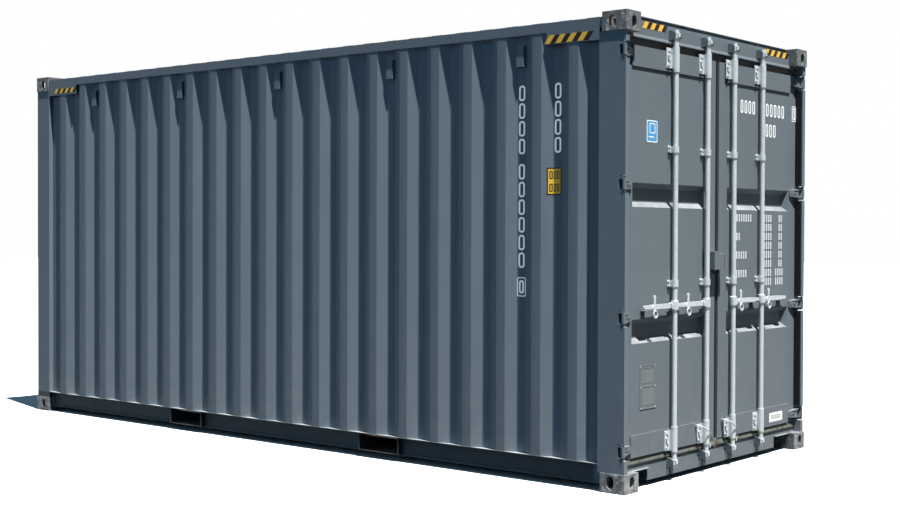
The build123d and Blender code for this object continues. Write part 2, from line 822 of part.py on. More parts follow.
def bearing_set(side):
    """All bearings of one leaf; side is +1 or -1."""
    pieces = []
    for y in bar_ys:
        for low, high in guides:
            pieces.append(bearing(side * y, low, high, leaf_x, guide_plate_w, 0))
        for low, high in (top_sleeve, bottom_sleeve):
            seat = leaf_x + rail_proud
            pieces.append(bearing(side * y, low, high, seat, bearing_plate_w, bearing_plate_in))
    pieces.append(rope_anchor(side * bar_ys[1]))
    return pieces


def rope_route(y):
    """Points of a hold-back rope beside the inner bar at y."""
    return [(bar_x + dx, y + dy, bottom_sleeve[1] + dz) for dx, dy, dz in rope_points]


def rope_anchor(y):
    """Welded lug on the leaf's stile or lower rail that a rope comes out of."""
    x, lug_y, z = rope_route(y)[0]
    half = rope_eye / 2
    on_stile = abs(lug_y) < door_meet + stile_w
    seat = leaf_x if on_stile else leaf_x + rail_proud
    return block(seat, x, lug_y - half, lug_y + half, z - half, z + half)


def bend_radii(points):
    """Largest arc that each corner of a route allows."""
    radii = []
    for before, here, after in zip(points, points[1:], points[2:]):
        into = Vector(*here) - Vector(*before)
        out = Vector(*after) - Vector(*here)
        turn = radians(into.get_angle(out))
        radii.append(0.45 * min(into.length, out.length) / tan(turn / 2))
    return radii


def rope(y):
    """Hold-back rope that crosses the bar's sleeve and hangs beside it."""
    points = rope_route(y)
    radii = bend_radii(points)
    path = FilletPolyline(*points, radius=radii)
    start = Plane(origin=path @ 0, z_dir=path % 0)
    tube = sweep(start * Circle(rope_r), path=path)
    share = tube.volume / (pi * rope_r ** 2 * path.length)
    print("rope length", round(path.length, 1), "volume share", round(share, 4), "radii", [round(r) for r in radii])
    return tube


def cam(y, low):
    """Cam head at a bar's end, its nose away from the leaf while it is locked."""
    mid = low + cam_h / 2
    boss = Pos(bar_x, y, mid) * Cylinder(cam_boss, cam_h)
    nose = Pos(bar_x, y, mid) * Cylinder(cam_nose, cam_h - 12)
    flank = block(bar_x, bar_x + cam_nose + 1, y - cam_nose / 2, y + cam_nose / 2, low, low + cam_h)
    return boss + (nose & flank)


def handle_hub(y, side):
    """Clamp with two ears on the bar; the handle points away from the middle."""
    ring = Pos(bar_x, y, handle_z) * Cylinder(hub_r, hub_h)
    ring = chamfer(ring.edges().filter_by(GeomType.CIRCLE), ear_t)
    half = handle_t / 2 + ear_gap
    ear = block(bar_x + half, bar_x + half + ear_t, 0, ear_reach, handle_z - ear_h / 2, handle_z + ear_h / 2)
    ear = fillet(ear.edges().filter_by(Axis.X).group_by(Axis.Y)[-1], ear_h / 4)
    ears = ear + mirror(ear, about=Plane.YZ.offset(bar_x))
    ears = ears if side > 0 else other_side(ears)
    hub = ring + Pos(0, y, 0) * ears
    ys = sorted((y + side * (bar_r + 1), y + side * (ear_reach + 1)))
    slot = block(bar_x - half, bar_x + half, ys[0], ys[1], handle_z - hub_h, handle_z + hub_h)
    pin = Pos(bar_x, y + side * handle_pin, handle_z) * Rot(0, 90, 0) * Cylinder(handle_pin_r, 2 * (half + ear_t) + 4)
    return (hub - slot) + pin


def lock_bar(y, side):
    """Locking bar with a cam head and collar at each end and the handle's hub."""
    tube = Pos(bar_x, y, (bar_bottom + bar_top) / 2) * Cylinder(bar_r, bar_top - bar_bottom)
    low_cam = (keeper_low[0] + keeper_low[1] - cam_h) / 2
    high_cam = (keeper_high[0] + keeper_high[1] - cam_h) / 2
    bar = tube + cam(y, low_cam) + cam(y, high_cam) + handle_hub(y, side)
    for z in (bottom_sleeve[1] + lug_gap, top_sleeve[0] - lug_gap - collar_h):
        bar = bar + Pos(bar_x, y, z + collar_h / 2) * Cylinder(collar_r, collar_h)
    low = low_cam + cam_h + bar_r
    high = high_cam - bar_r
    return bar - Pos(bar_x, y, (low + high) / 2) * Cylinder(bar_r - bar_wall, high - low)


def handle(y, side):
    """Tapered lever with its hook and seal eye, pointing away from the middle."""
    catch_at = catch_near if side > 0 else catch_far
    half = handle_h / 2
    tip = handle_tip_h / 2
    bend = handle_l - handle_taper
    lever = prism_x(
        [(handle_pin, handle_z - half), (bend, handle_z - half), (handle_l, handle_z - tip),
         (handle_l, handle_z + tip), (bend, handle_z + half), (handle_pin, handle_z + half)],
        bar_x - handle_t / 2, bar_x + handle_t / 2,
    )
    lever = fillet(lever.edges().filter_by(Axis.X).group_by(Axis.Y)[-1], tip * 0.8)
    nose = Pos(bar_x, handle_pin, handle_z) * Rot(0, 90, 0) * Cylinder(handle_nose, handle_t)
    bore = Pos(bar_x, handle_pin, handle_z) * Rot(0, 90, 0) * Cylinder(handle_pin_r + handle_pin_gap, handle_t + 2)
    x0 = bar_x + handle_t / 2
    hook_top = handle_z + half + catch_up
    hook = prism_x(
        [(catch_at - catch_w, handle_z - half), (catch_at + catch_w, handle_z - half),
         (catch_at + catch_w, handle_z), (catch_at + catch_knob, handle_z + half),
         (catch_at + catch_knob, hook_top), (catch_at - catch_knob, hook_top),
         (catch_at - catch_knob, handle_z + half), (catch_at - catch_w, handle_z)],
        x0, x0 + catch_t,
    )
    knob = Pos(x0 + catch_t / 2, catch_at, hook_top) * Rot(0, 90, 0) * Cylinder(catch_knob + 3, catch_t)
    eye_z = handle_z - half - eye_h / 2 + 6
    eye_face = SlotOverall(eye_h, eye_w, rotation=90) - SlotOverall(eye_hole_h, eye_hole_w, rotation=90)
    eye = extrude(Plane.YZ.offset(x0) * Pos(catch_at, eye_z) * eye_face, catch_t)
    catch = hook + knob + eye
    hole = extrude(
        Plane.YZ.offset(x0 - 1) * Pos(catch_at, eye_z) * SlotOverall(eye_hole_h, eye_hole_w, rotation=90),
        catch_t + 2,
    )
    lever = (lever + nose - bore) + (catch - hole)
    lever = lever if side > 0 else other_side(lever)
    return Pos(0, y, 0) * lever


def handle_rest(y, side):
    """Bent plate on the leaf that carries a handle's outer half."""
    far = handle_l - rest_short
    top = handle_z - handle_h / 2 - rest_gap
    outline = [
        (rest_near, top + rest_up), (rest_near, top - rest_down + rest_cut),
        (rest_near + rest_cut, top - rest_down), (far, top - rest_down), (far, top + rest_up),
    ]
    plate = prism_x(outline, leaf_x, leaf_x + rest_plate)
    shelf = block(leaf_x, bar_x + handle_t / 2, rest_near, far, top - rest_shelf, top)
    lip = prism_x(
        [(rest_near, top), (rest_near, top - rest_down / 2), (rest_near + rest_cut, top - rest_down * 0.8),
         (far, top - rest_down * 0.8), (far, top)],
        bar_x + handle_t / 2 - rest_plate, bar_x + handle_t / 2,
    )
    rest = plate + shelf + lip
    rest = rest if side > 0 else other_side(rest)
    return Pos(0, y, 0) * rest


def lock_cover(y0, y1, low, high, left_wall, right_wall):
    """Part of the padlock cover, open below; a wall of 0 leaves that side open."""
    x1 = leaf_x + box_deep
    t = box_plate
    inside = block(leaf_x - 1, x1 - t, y0 + (left_wall or -1), y1 - (right_wall or -1), low - 1, high - t)
    return block(leaf_x, x1, y0, y1, low, high) - inside


def staple(y, depth):
    """Plate with a hole for the padlock's shackle, standing on a leaf under the cover."""
    z0 = box_low - staple_h / 2
    plate = block(leaf_x, leaf_x + depth, y - staple_t / 2, y + staple_t / 2, z0, z0 + staple_h)
    hole = Pos(leaf_x + depth - 2 * staple_hole_r, y, z0 + 2 * staple_hole_r) * Rot(90, 0, 0)
    return plate - hole * Cylinder(staple_hole_r, staple_t + 2)


def build():
    """Write every sub-part."""
    casting = corner_casting()
    save("bottom_corner_castings", four_corners(casting))
    save("top_corner_castings", [at_top(piece) for piece in four_corners(casting)])
    post = front_post()
    save("front_corner_posts", [post, other_side(post)])
    post = rear_post()
    save("rear_corner_posts", [post, other_side(post)])
    lugs = [piece for z in hinge_heights for piece in hinge_lug_set(z)]
    save("hinge_lugs", lugs + [other_side(piece) for piece in lugs])
    pins = [hinge_pin(z) for z in hinge_heights]
    save("hinge_pins", pins + [other_side(piece) for piece in pins])
    rail = top_side_rail()
    plates = [corner_plate(), far_corner_plate()]
    save("top_side_rails", [rail, other_side(rail)] + plates + [other_side(piece) for piece in plates])
    rail = bottom_side_rail()
    save("bottom_side_rails", [rail, other_side(rail)])
    wall = side_wall()
    save("side_wall_right", [wall])
    save("side_wall_left", [other_side(wall)])
    save("front_wall", [front_wall()])
    save("roof_panel", roof_panel())
    save("front_top_rail", [front_top_rail()])
    save("front_sill", [front_sill()])
    save("door_header", door_header())
    save("door_sill", door_sill())
    save("floor_boards", floor_planks())
    save("cross_members", [beam(x) for x in beam_places()])
    save("fork_pockets", [fork_pocket(s * pocket_spacing / 2) for s in (1, -1)])
    vent_pitch = vent_every * side_pitch
    vents = [vent((i - (vent_count - 1) / 2) * vent_pitch) for i in range(vent_count)]
    save("ventilators", vents + [other_side(piece) for piece in vents])
    keepers = []
    for y in bar_ys:
        for low, high in (keeper_low, keeper_high):
            keepers.append(keeper(y, low, high))
            keepers.append(keeper(-y, low, high))
    save("cam_keepers", keepers)

    frame = door_frame()
    panel = door_panel()
    seal = gasket()
    blades = [hinge_blade(z) for z in hinge_heights]
    save("right_door_frame", [frame])
    save("right_door_panel", [panel])
    save("right_door_gasket", [seal])
    save("right_hinge_blades", blades)
    save("left_door_frame", [other_side(frame)])
    save("left_door_panel", [other_side(panel)])
    save("left_door_gasket", [other_side(seal)])
    save("left_hinge_blades", [other_side(piece) for piece in blades])
    save("right_bar_bearings", bearing_set(1))
    save("left_bar_bearings", bearing_set(-1))
    save("right_handle_rests", [handle_rest(y, 1) for y in bar_ys])
    save("left_handle_rests", [handle_rest(-y, -1) for y in bar_ys])
    box_high = box_low + box_h
    left_half = lock_cover(box_left, box_split, box_low, box_high, box_plate, 0)
    left_half = left_half + lock_cover(box_split, -box_gap / 2, box_low, box_high - box_step, 0, 0)
    right_half = lock_cover(box_gap / 2, box_right, box_low, box_high - box_step, 0, box_plate)
    save("left_lock_cover", [left_half, staple(-door_meet - staple_w / 2, staple_w - box_plate)])
    save("right_lock_cover", [right_half])
    save("left_door_rope", [rope(-bar_ys[1])])
    save("right_door_rope", [rope(bar_ys[1])])

    places = [(-bar_ys[0], -1), (-bar_ys[1], -1), (bar_ys[1], 1), (bar_ys[0], 1)]
    for i, (y, side) in enumerate(places, start=1):
        save(f"lock_bar_{i}", [lock_bar(y, side)])
        save(f"handle_{i}", [handle(y, side)])


os.makedirs("parts", exist_ok=True)
build()
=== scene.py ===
# %% [markdown]
# A twenty-foot freight container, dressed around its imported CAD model. The CAD gives
# every rigid piece at its real size. This file gives the finishes, the sheet metal
# that needs rounded bends, the markings, the small fasteners and the two ropes.

# %% Load the frame
import bmesh
import bpy
from math import cos, pi, radians, sin
from mathutils import Matrix, Vector


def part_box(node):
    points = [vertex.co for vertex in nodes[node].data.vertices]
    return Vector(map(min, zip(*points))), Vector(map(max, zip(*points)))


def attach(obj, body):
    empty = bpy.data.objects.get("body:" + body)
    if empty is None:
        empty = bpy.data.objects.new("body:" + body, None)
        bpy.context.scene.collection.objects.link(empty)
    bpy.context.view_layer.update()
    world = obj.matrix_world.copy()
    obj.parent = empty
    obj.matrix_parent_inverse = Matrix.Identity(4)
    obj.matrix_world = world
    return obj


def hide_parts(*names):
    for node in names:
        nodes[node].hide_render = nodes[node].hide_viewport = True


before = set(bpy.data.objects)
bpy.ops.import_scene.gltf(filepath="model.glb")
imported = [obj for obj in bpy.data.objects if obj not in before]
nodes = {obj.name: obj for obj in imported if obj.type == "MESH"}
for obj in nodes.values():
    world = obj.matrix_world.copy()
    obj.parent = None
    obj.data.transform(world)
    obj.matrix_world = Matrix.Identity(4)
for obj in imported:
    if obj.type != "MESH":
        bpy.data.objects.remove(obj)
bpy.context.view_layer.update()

# %% [markdown]
# The camera stands where the photographer stood: about 1.6 m above the ground, out past
# the door corner, looking along the near side. It was fitted to the castings, so it
# needs no shift. A matrix built from the view direction is exact where Euler angles
# would have to be converted.

# %% Camera
EYE = Vector((7.4360, -8.1762, 1.5717))
HEADING = 2.262746
PITCH = -0.015677
ROLL = 0.003426
LENS_MM = 54.995

ahead = Vector((cos(PITCH) * cos(HEADING), cos(PITCH) * sin(HEADING), sin(PITCH)))
right = ahead.cross(Vector((0, 0, 1))).normalized()
up = right.cross(ahead)
right, up = cos(ROLL) * right + sin(ROLL) * up, cos(ROLL) * up - sin(ROLL) * right
lens = bpy.data.cameras.new("camera")
lens.lens = LENS_MM
lens.sensor_width = 36.0
camera = bpy.data.objects.new("camera", lens)
turn = Matrix((right, up, -ahead)).transposed().to_4x4()
camera.matrix_world = Matrix.Translation(EYE) @ turn
bpy.context.scene.collection.objects.link(camera)
bpy.context.scene.camera = camera
print("camera height", round(EYE.z, 3))

# %% [markdown]
# A short fibre rope hangs beside each inner locking bar, to tie the open door back. It
# leaves a welded lug, crosses the bar's bottom sleeve and drops. A rope is a smooth line,
# so it is a NURBS curve through a few control points with a round bevel, and not a chain
# of cylinders. Its points are the same as in the CAD model, where it is a plain tube.
# The thickness is set at the points, on a bevel of 1, because Blender measures a curve's
# box by its points' radius.

# %% Ropes
ROPE_R = 0.0035
BAR_X = 2.994
SLEEVE_TOP = 0.330
INNER_BAR_Y = 0.180
ROPE_STEPS = (
    (-0.009, -0.098, -0.014), (0.014, -0.098, -0.014), (0.0314, -0.066, -0.030),
    (0.0314, -0.030, -0.050), (0.0314, 0.006, -0.072), (0.025, 0.034, -0.098),
    (0.016, 0.040, -0.126), (0.012, 0.038, -0.150), (0.010, 0.036, -0.170),
)


def rope(side, bar_y):
    start = Vector((BAR_X, bar_y, SLEEVE_TOP))
    points = [start + Vector(step) for step in ROPE_STEPS]
    line = bpy.data.curves.new(side + "_rope", "CURVE")
    line.dimensions = "3D"
    line.bevel_depth = 1.0
    line.bevel_resolution = 4
    line.use_fill_caps = True
    line.resolution_u = 10
    run = line.splines.new("NURBS")
    run.points.add(len(points) - 1)
    for place, point in zip(run.points, points):
        place.co = point.to_4d()
        place.radius = ROPE_R
    run.order_u = 3
    run.use_endpoint_u = True
    piece = bpy.data.objects.new(side + "_rope", line)
    bpy.context.scene.collection.objects.link(piece)
    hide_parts(side + "_door_rope")
    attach(piece, side + "_door")
    return piece


ropes = [rope("left", -INNER_BAR_Y), rope("right", INNER_BAR_Y)]
print("ropes", len(ropes))

# %% [markdown]
# Shader maths is easier to read as sums than as a web of nodes. `Value` wraps one
# socket, and each operator adds the Math node that does it. It has only the operators
# that the finishes below need.

# %% Sums of sockets


class Value:
    """A socket that can be used in sums."""

    def __init__(self, paint, socket):
        self.paint = paint
        self.socket = socket

    def maths(self, kind, *others, clamp=False):
        node = self.paint.node("ShaderNodeMath", {"operation": kind, "use_clamp": clamp})
        for place, value in enumerate((self,) + others):
            self.paint.feed(node.inputs[place], value)
        return Value(self.paint, node.outputs[0])

    def __add__(self, other):
        return self.maths("ADD", other)

    __radd__ = __add__

    def __mul__(self, other):
        return self.maths("MULTIPLY", other)

    __rmul__ = __mul__

    def __rsub__(self, other):
        return (self * -1.0) + other

    def clamped(self):
        return self.maths("ADD", 0.0, clamp=True)

    def above(self, edge, soft):
        """0 below edge, 1 once past edge + soft."""
        return self.maths("SUBTRACT", edge).maths("DIVIDE", soft, clamp=True)

    def power(self, exponent):
        return self.maths("POWER", exponent)

    def larger(self, other):
        return self.maths("MAXIMUM", other)


# %% [markdown]
# `Paint` holds one material's tree and makes every node through a single method, which
# takes the node's settings as a dictionary and its inputs by name. Object coordinates
# are in metres here, so `x`, `y` and `z` can be used as real places on the container.

# %% Material trees


class Paint:
    """One material and the tools that build its tree."""

    def __init__(self, name):
        self.material = bpy.data.materials.new(name)
        self.material.use_nodes = True
        self.tree = self.material.node_tree
        self.tree.nodes.clear()
        self.output = self.node("ShaderNodeOutputMaterial")
        self.place = self.make("ShaderNodeTexCoord", out="Object")
        split = self.node("ShaderNodeSeparateXYZ", Vector=self.place)
        self.x, self.y, self.z = (Value(self, split.outputs[i]) for i in range(3))

    def feed(self, socket, value):
        if isinstance(value, Value):
            self.tree.links.new(value.socket, socket)
        elif isinstance(value, bpy.types.NodeSocket):
            self.tree.links.new(value, socket)
        elif isinstance(value, tuple) and len(value) == 3 and socket.type == "RGBA":
            socket.default_value = value + (1.0,)
        else:
            socket.default_value = value

    def node(self, kind, settings=None, **values):
        made = self.tree.nodes.new(kind)
        for name, value in (settings or {}).items():
            setattr(made, name, value)
        for name, value in values.items():
            self.feed(made.inputs[name.replace("_", " ")], value)
        return made

    def make(self, kind, out=0, **values):
        return self.node(kind, **values).outputs[out]

    def noise(self, scale, detail=3.0, rough=0.55, stretch=(1, 1, 1), shift=(0, 0, 0)):
        where = self.make("ShaderNodeMapping", Vector=self.place, Scale=stretch, Location=shift)
        return Value(self, self.make(
            "ShaderNodeTexNoise", out="Fac", Vector=where, Scale=scale, Detail=detail,
            Roughness=rough))

    def facing_up(self):
        """1 on a level top, 0 on a wall, -1 underneath."""
        normal = self.make("ShaderNodeTexCoord", out="Normal")
        return Value(self, self.make("ShaderNodeSeparateXYZ", out=2, Vector=normal))

    def mix(self, factor, under, over):
        """Mix two colours. Their sockets share names with other kinds, so they go by number."""
        made = self.node("ShaderNodeMix", {"data_type": "RGBA"}, Factor=factor)
        self.feed(made.inputs[6], under)
        self.feed(made.inputs[7], over)
        return made.outputs[2]

    def bump(self, height, strength, distance, under=None):
        made = self.node("ShaderNodeBump", Height=height, Strength=strength, Distance=distance)
        if under is not None:
            self.feed(made.inputs["Normal"], under)
        return made.outputs[0]

    def finish(self, **values):
        shader = self.node("ShaderNodeBsdfPrincipled", **values)
        self.feed(self.output.inputs["Surface"], shader.outputs[0])
        return self.material


# %% [markdown]
# The walls are steel sprayed with a dark blue-grey paint that has gone chalky. Broad
# patches differ a little in tone, rain leaves faint upright streaks, grit is thrown up
# near the ground, and a few specks have rusted. Pale dust lies on the ledges. Along the
# foot of the side, as far as the rear post, upright faces are painted dark as shade under
# the bottom rail's top edge. All of it reads Object coordinates, so it lies still on the
# metal when a door swings. The doors, the roof and the underside use the same recipe in
# their own colours.

# %% Painted steel
# Painted light: the walls' paint is lighter and bluer than the doors', standing in for the open
# sky's light on the near side; the real walls and doors share one paint.
SKY_TINTED_PAINT = (0.145, 0.182, 0.214)
SKY_TINTED_CHALK = (0.178, 0.215, 0.246)
DUST = (0.30, 0.29, 0.27)
LEDGE_DUST = (0.42, 0.42, 0.41)
RUST = (0.19, 0.085, 0.040)
# Painted shade: the colour that upright faces take under the bottom rail's top edge.
RAIL_SHADE = (0.035, 0.045, 0.052)
RAIL_SHADE_TOP = 0.160
REAR_POST_X = 2.76
ROOF_Z = 2.785


def painted_steel(name, base, chalk, grit=0.35, chips=0.5, dust=0.75):
    p = Paint(name)
    patch = p.noise(0.9, detail=2.0)
    streak = p.noise(5.0, detail=3.0, stretch=(3.0, 3.0, 0.16))
    tone = (patch * 0.6 + streak * 0.5).above(0.42, 0.42)
    colour = p.mix(tone * 0.55, base, chalk)
    low = (1.0 - p.z.above(0.15, 1.1)).power(2.2)
    dirt = (p.noise(9.0, detail=4.0).above(0.38, 0.4) * low * grit).clamped()
    colour = p.mix(dirt, colour, DUST)
    scuff = p.noise(38.0, detail=2.0, stretch=(1.0, 1.0, 0.35)).above(0.735, 0.03)
    rare = p.noise(1.7, shift=(4.0, 1.0, 2.0)).above(0.52, 0.08)
    colour = p.mix(scuff * rare * chips, colour, chalk)
    speck = p.noise(120.0, detail=1.0).above(0.80, 0.02) * rare
    colour = p.mix(speck * 0.6, colour, RUST)
    ledge = p.facing_up().above(0.55, 0.3) * p.noise(7.0, detail=4.0).above(0.30, 0.35)
    roof = p.z.above(ROOF_Z, 0.02)
    colour = p.mix(ledge * dust * (1.0 - 0.75 * roof), colour, LEDGE_DUST)
    # Painted shade: below the bottom rail's top edge and short of the rear post, upright faces
    # are darkened as if the rail shaded them.
    upright = 1.0 - p.facing_up().above(0.4, 0.2)
    rail_shade = (1.0 - p.z.above(RAIL_SHADE_TOP, 0.012)) * upright
    rail_shade = rail_shade * (1.0 - p.x.above(REAR_POST_X, 0.03))
    colour = p.mix(rail_shade * 0.82, colour, RAIL_SHADE)
    rough = 0.42 + 0.22 * tone + 0.2 * dirt
    wave = p.noise(3.2, detail=1.0)
    skin = p.noise(260.0, detail=2.0)
    relief = p.bump(wave, 0.35, 0.004)
    relief = p.bump(skin, 0.12, 0.0006, relief)
    return p.finish(
        Base_Color=colour, Roughness=rough, Metallic=0.0, Specular_IOR_Level=0.04,
        Normal=relief)


wall_paint = painted_steel("wall_paint", SKY_TINTED_PAINT, SKY_TINTED_CHALK)
door_paint = painted_steel(
    "door_paint", (0.138, 0.166, 0.190), (0.168, 0.196, 0.219), grit=0.3)
roof_paint = painted_steel(
    "roof_paint", (0.092, 0.113, 0.130), (0.120, 0.142, 0.160), grit=0.1)
# Near-black underseal, which is also painted shade for the dark inside the fork pockets and
# among the cross members.
under_paint = painted_steel(
    "under_paint", (0.016, 0.018, 0.020), (0.024, 0.026, 0.029), grit=0.1, chips=0.0,
    dust=0.1)
print("paints", wall_paint.name, door_paint.name, roof_paint.name, under_paint.name)

# %% [markdown]
# The castings are cast steel that every crane and lock scrapes, so their paint is rough,
# scraped pale in patches, dusty near the ground and rusty in places. The locking gear is
# hot-dip galvanised: a pale zinc with a mottled spangle, duller patches and some stains.

# %% Cast steel and zinc


def cast_steel():
    p = Paint("cast_steel")
    patch = p.noise(14.0, detail=4.0)
    worn = p.noise(34.0, detail=5.0, rough=0.7).above(0.55, 0.06)
    low = 1.0 - p.z.above(0.3, 0.5)
    colour = p.mix(patch, (0.095, 0.105, 0.115), (0.150, 0.162, 0.172))
    colour = p.mix(low * patch.above(0.42, 0.25) * 0.6, colour, (0.46, 0.46, 0.44))
    colour = p.mix(worn * 0.6, colour, (0.42, 0.42, 0.41))
    rust = p.noise(21.0, detail=4.0, shift=(3, 3, 3)).above(0.60, 0.08)
    colour = p.mix(rust * 0.45, colour, RUST)
    relief = p.bump(p.noise(90.0, detail=4.0), 0.5, 0.0015)
    return p.finish(
        Base_Color=colour, Roughness=0.55 + 0.25 * rust, Metallic=worn * 0.3,
        Specular_IOR_Level=0.15, Normal=relief)


def zinc():
    p = Paint("zinc")
    cell = p.make("ShaderNodeTexVoronoi", out="Color", Vector=p.place, Scale=70.0)
    spangle = Value(p, p.make("ShaderNodeSeparateColor", Color=cell))
    dull = p.noise(11.0, detail=4.0)
    colour = p.mix(spangle * 0.35 + dull * 0.65, (0.42, 0.465, 0.49), (0.58, 0.625, 0.65))
    stain = p.noise(9.0, detail=4.0, stretch=(1, 1, 0.3), shift=(1, 7, 2)).above(0.62, 0.14)
    colour = p.mix(stain * 0.4, colour, (0.20, 0.20, 0.20))
    relief = p.bump(dull, 0.15, 0.001)
    return p.finish(
        Base_Color=colour, Roughness=0.42 + 0.15 * dull, Metallic=0.12,
        Specular_IOR_Level=0.4, Normal=relief)


casting_finish = cast_steel()
zinc_finish = zinc()
print("metals", casting_finish.name, zinc_finish.name)

# %% [markdown]
# The ropes are pale twisted fibre. Rubber seals are matt black, hold dust in their folds
# and are pale with dirt along their lowest edge. The floor is plywood, seen only when a
# door is open: long grain, sealed and scratched.

# %% Rubber, plywood and rope fibre
SEAL_FOOT = 0.196
STRANDS_PER_M = 260.0


def rubber():
    p = Paint("seal_rubber")
    dust = p.noise(26.0, detail=4.0).above(0.5, 0.3)
    colour = p.mix(dust * 0.3, (0.010, 0.011, 0.012), (0.035, 0.037, 0.038))
    blotch = p.noise(18.0, detail=4.0, stretch=(1, 1, 2)).above(0.2, 0.4)
    foot = (1.0 - p.z.above(SEAL_FOOT, 0.004)) * blotch
    colour = p.mix(foot * 0.8, colour, (0.145, 0.155, 0.135))
    colour = p.mix(p.facing_up().above(0.4, 0.4) * 0.7, colour, (0.34, 0.34, 0.31))
    return p.finish(
        Base_Color=colour, Roughness=0.75, Specular_IOR_Level=0.12,
        Normal=p.bump(dust, 0.2, 0.001))


def plywood():
    p = Paint("plywood")
    grain = p.noise(30.0, detail=5.0, rough=0.6, stretch=(0.08, 1.0, 1.0))
    figure = p.noise(5.0, detail=3.0, stretch=(0.25, 1.0, 1.0))
    colour = p.mix(grain, (0.125, 0.070, 0.038), (0.240, 0.155, 0.092))
    colour = p.mix(figure * 0.5, colour, (0.175, 0.105, 0.060))
    scrape = p.noise(60.0, detail=2.0, stretch=(0.04, 1, 1), shift=(2, 2, 2)).above(0.7, 0.05)
    colour = p.mix(scrape * 0.6, colour, (0.32, 0.26, 0.19))
    return p.finish(Base_Color=colour, Roughness=0.5, Normal=p.bump(grain, 0.3, 0.001))


def fibre():
    """Twisted rope: slanting strands a few millimetres apart, greyed by hands and rain."""
    p = Paint("rope_fibre")
    slant = (p.z + (p.x + p.y) * 0.7) * STRANDS_PER_M
    strand = (slant * 2.0 * pi).maths("SINE") * 0.5 + 0.5
    fuzz = p.noise(900.0, detail=2.0)
    grime = p.noise(30.0, detail=3.0).above(0.45, 0.3)
    colour = p.mix(strand * 0.6 + fuzz * 0.4, (0.74, 0.74, 0.71), (0.93, 0.93, 0.90))
    colour = p.mix(grime * 0.15, colour, (0.40, 0.38, 0.34))
    return p.finish(
        Base_Color=colour, Roughness=0.9, Specular_IOR_Level=0.1,
        Normal=p.bump(strand, 0.6, 0.001))


rope_finish = fibre()
rubber_finish = rubber()
plywood_finish = plywood()
print("soft finishes", rope_finish.name, rubber_finish.name, plywood_finish.name)

# %% [markdown]
# Each CAD node keeps its own mesh and only gets a material in its slot. A table of words
# in the names is easier to check than a row of tests. Its first fitting line holds, and
# a node that no line fits gets the wall's paint.

# %% Dress the CAD nodes
DRESS = (
    (("castings",), casting_finish),
    (("gasket",), rubber_finish),
    (("rests", "cam_keepers"), door_paint),
    (("roof_panel",), roof_paint),
    # Underseal that also serves as painted shade on the fork pockets and cross members.
    (("fork_pockets", "cross_members"), under_paint),
    (("floor_boards",), plywood_finish),
    (("lock_bar", "handle", "bearings", "hinge_pins"), zinc_finish),
    (("door", "lock_cover", "blades"), door_paint),
)
for name, node in nodes.items():
    fitting = [finish for words, finish in DRESS if any(word in name for word in words)]
    for place in node.material_slots:
        place.material = (fitting + [wall_paint])[0]
for line in ropes:
    line.data.materials.append(rope_finish)
print("dressed", len(nodes), "nodes and", len(ropes), "ropes")

# %% [markdown]
# Sheet walls, bolts and hazard bars all follow a rule, so Geometry Nodes make them. `Shape`
# builds one tree: it names the inputs, adds nodes through one method, and bakes the result
# to a plain mesh. The export can't see instances, so each tree realises them.

# %% Geometry helpers
SHARP_FROM = radians(32)


class Shape:
    """A Geometry Nodes tree with named inputs."""

    def __init__(self, name, inputs):
        self.tree = bpy.data.node_groups.new(name, "GeometryNodeTree")
        self.sockets = {}
        for label, kind in inputs.items():
            made = self.tree.interface.new_socket(
                name=label, in_out="INPUT", socket_type="NodeSocket" + kind)
            self.sockets[label] = made.identifier
        self.tree.interface.new_socket(
            name="Geometry", in_out="OUTPUT", socket_type="NodeSocketGeometry")
        self.entry = self.tree.nodes.new("NodeGroupInput")
        self.exit = self.tree.nodes.new("NodeGroupOutput")

    def given(self, label):
        return self.entry.outputs[label]

    def feed(self, socket, value):
        if isinstance(value, bpy.types.NodeSocket):
            self.tree.links.new(value, socket)
        else:
            socket.default_value = value

    def make(self, kind, settings=None, out=0, **values):
        made = self.tree.nodes.new(kind)
        for name, value in (settings or {}).items():
            setattr(made, name, value)
        for name, value in values.items():
            self.feed(made.inputs[name.replace("_", " ")], value)
        return made.outputs[out]

    def sum(self, kind, *values):
        made = self.tree.nodes.new("ShaderNodeMath")
        made.operation = kind
        for place, value in enumerate(values):
            self.feed(made.inputs[place], value)
        return made.outputs[0]

    def finish(self, geometry, material):
        solid = self.make("GeometryNodeRealizeInstances", Geometry=geometry)
        dressed = self.make("GeometryNodeSetMaterial", Geometry=solid, Material=material)
        self.feed(self.exit.inputs[0], dressed)

    def bake(self, name, start=None, **values):
        """Run the tree once and keep its result as a plain mesh."""
        piece = bpy.data.objects.new(name, start or bpy.data.meshes.new(name))
        bpy.context.scene.collection.objects.link(piece)
        modifier = piece.modifiers.new("shape", "NODES")
        modifier.node_group = self.tree
        for label, value in values.items():
            modifier[self.sockets[label.replace("_", " ")]] = value
        graph = bpy.context.evaluated_depsgraph_get()
        plain = bpy.data.meshes.new_from_object(piece.evaluated_get(graph))
        piece.modifiers.clear()
        piece.data = plain
        plain.name = name
        plain.set_sharp_from_angle(angle=SHARP_FROM)
        return piece


def shift_mesh(piece, matrix):
    """Move the mesh itself. A mirroring matrix turns faces inside out, so they are flipped."""
    piece.data.transform(matrix)
    if matrix.determinant() < 0:
        piece.data.flip_normals()
    piece.data.update()


# %% [markdown]
# The two sides and the closed front end are one steel sheet each, pressed into ridges. A
# sharp zigzag looks like folded paper, because real bends have a radius that catches the
# light. The tree draws the zigzag as a line of corners, rounds them with Fillet Curve, and
# sweeps a tall thin rectangle along it, which gives the sheet its thickness as well.
# Every ridge has four corners and the sheet's ends add two, so a point's number alone
# tells which ridge it is on and which of its corners it is.

# %% The corrugation's tree
BEND = 0.011
SHEET = 0.002


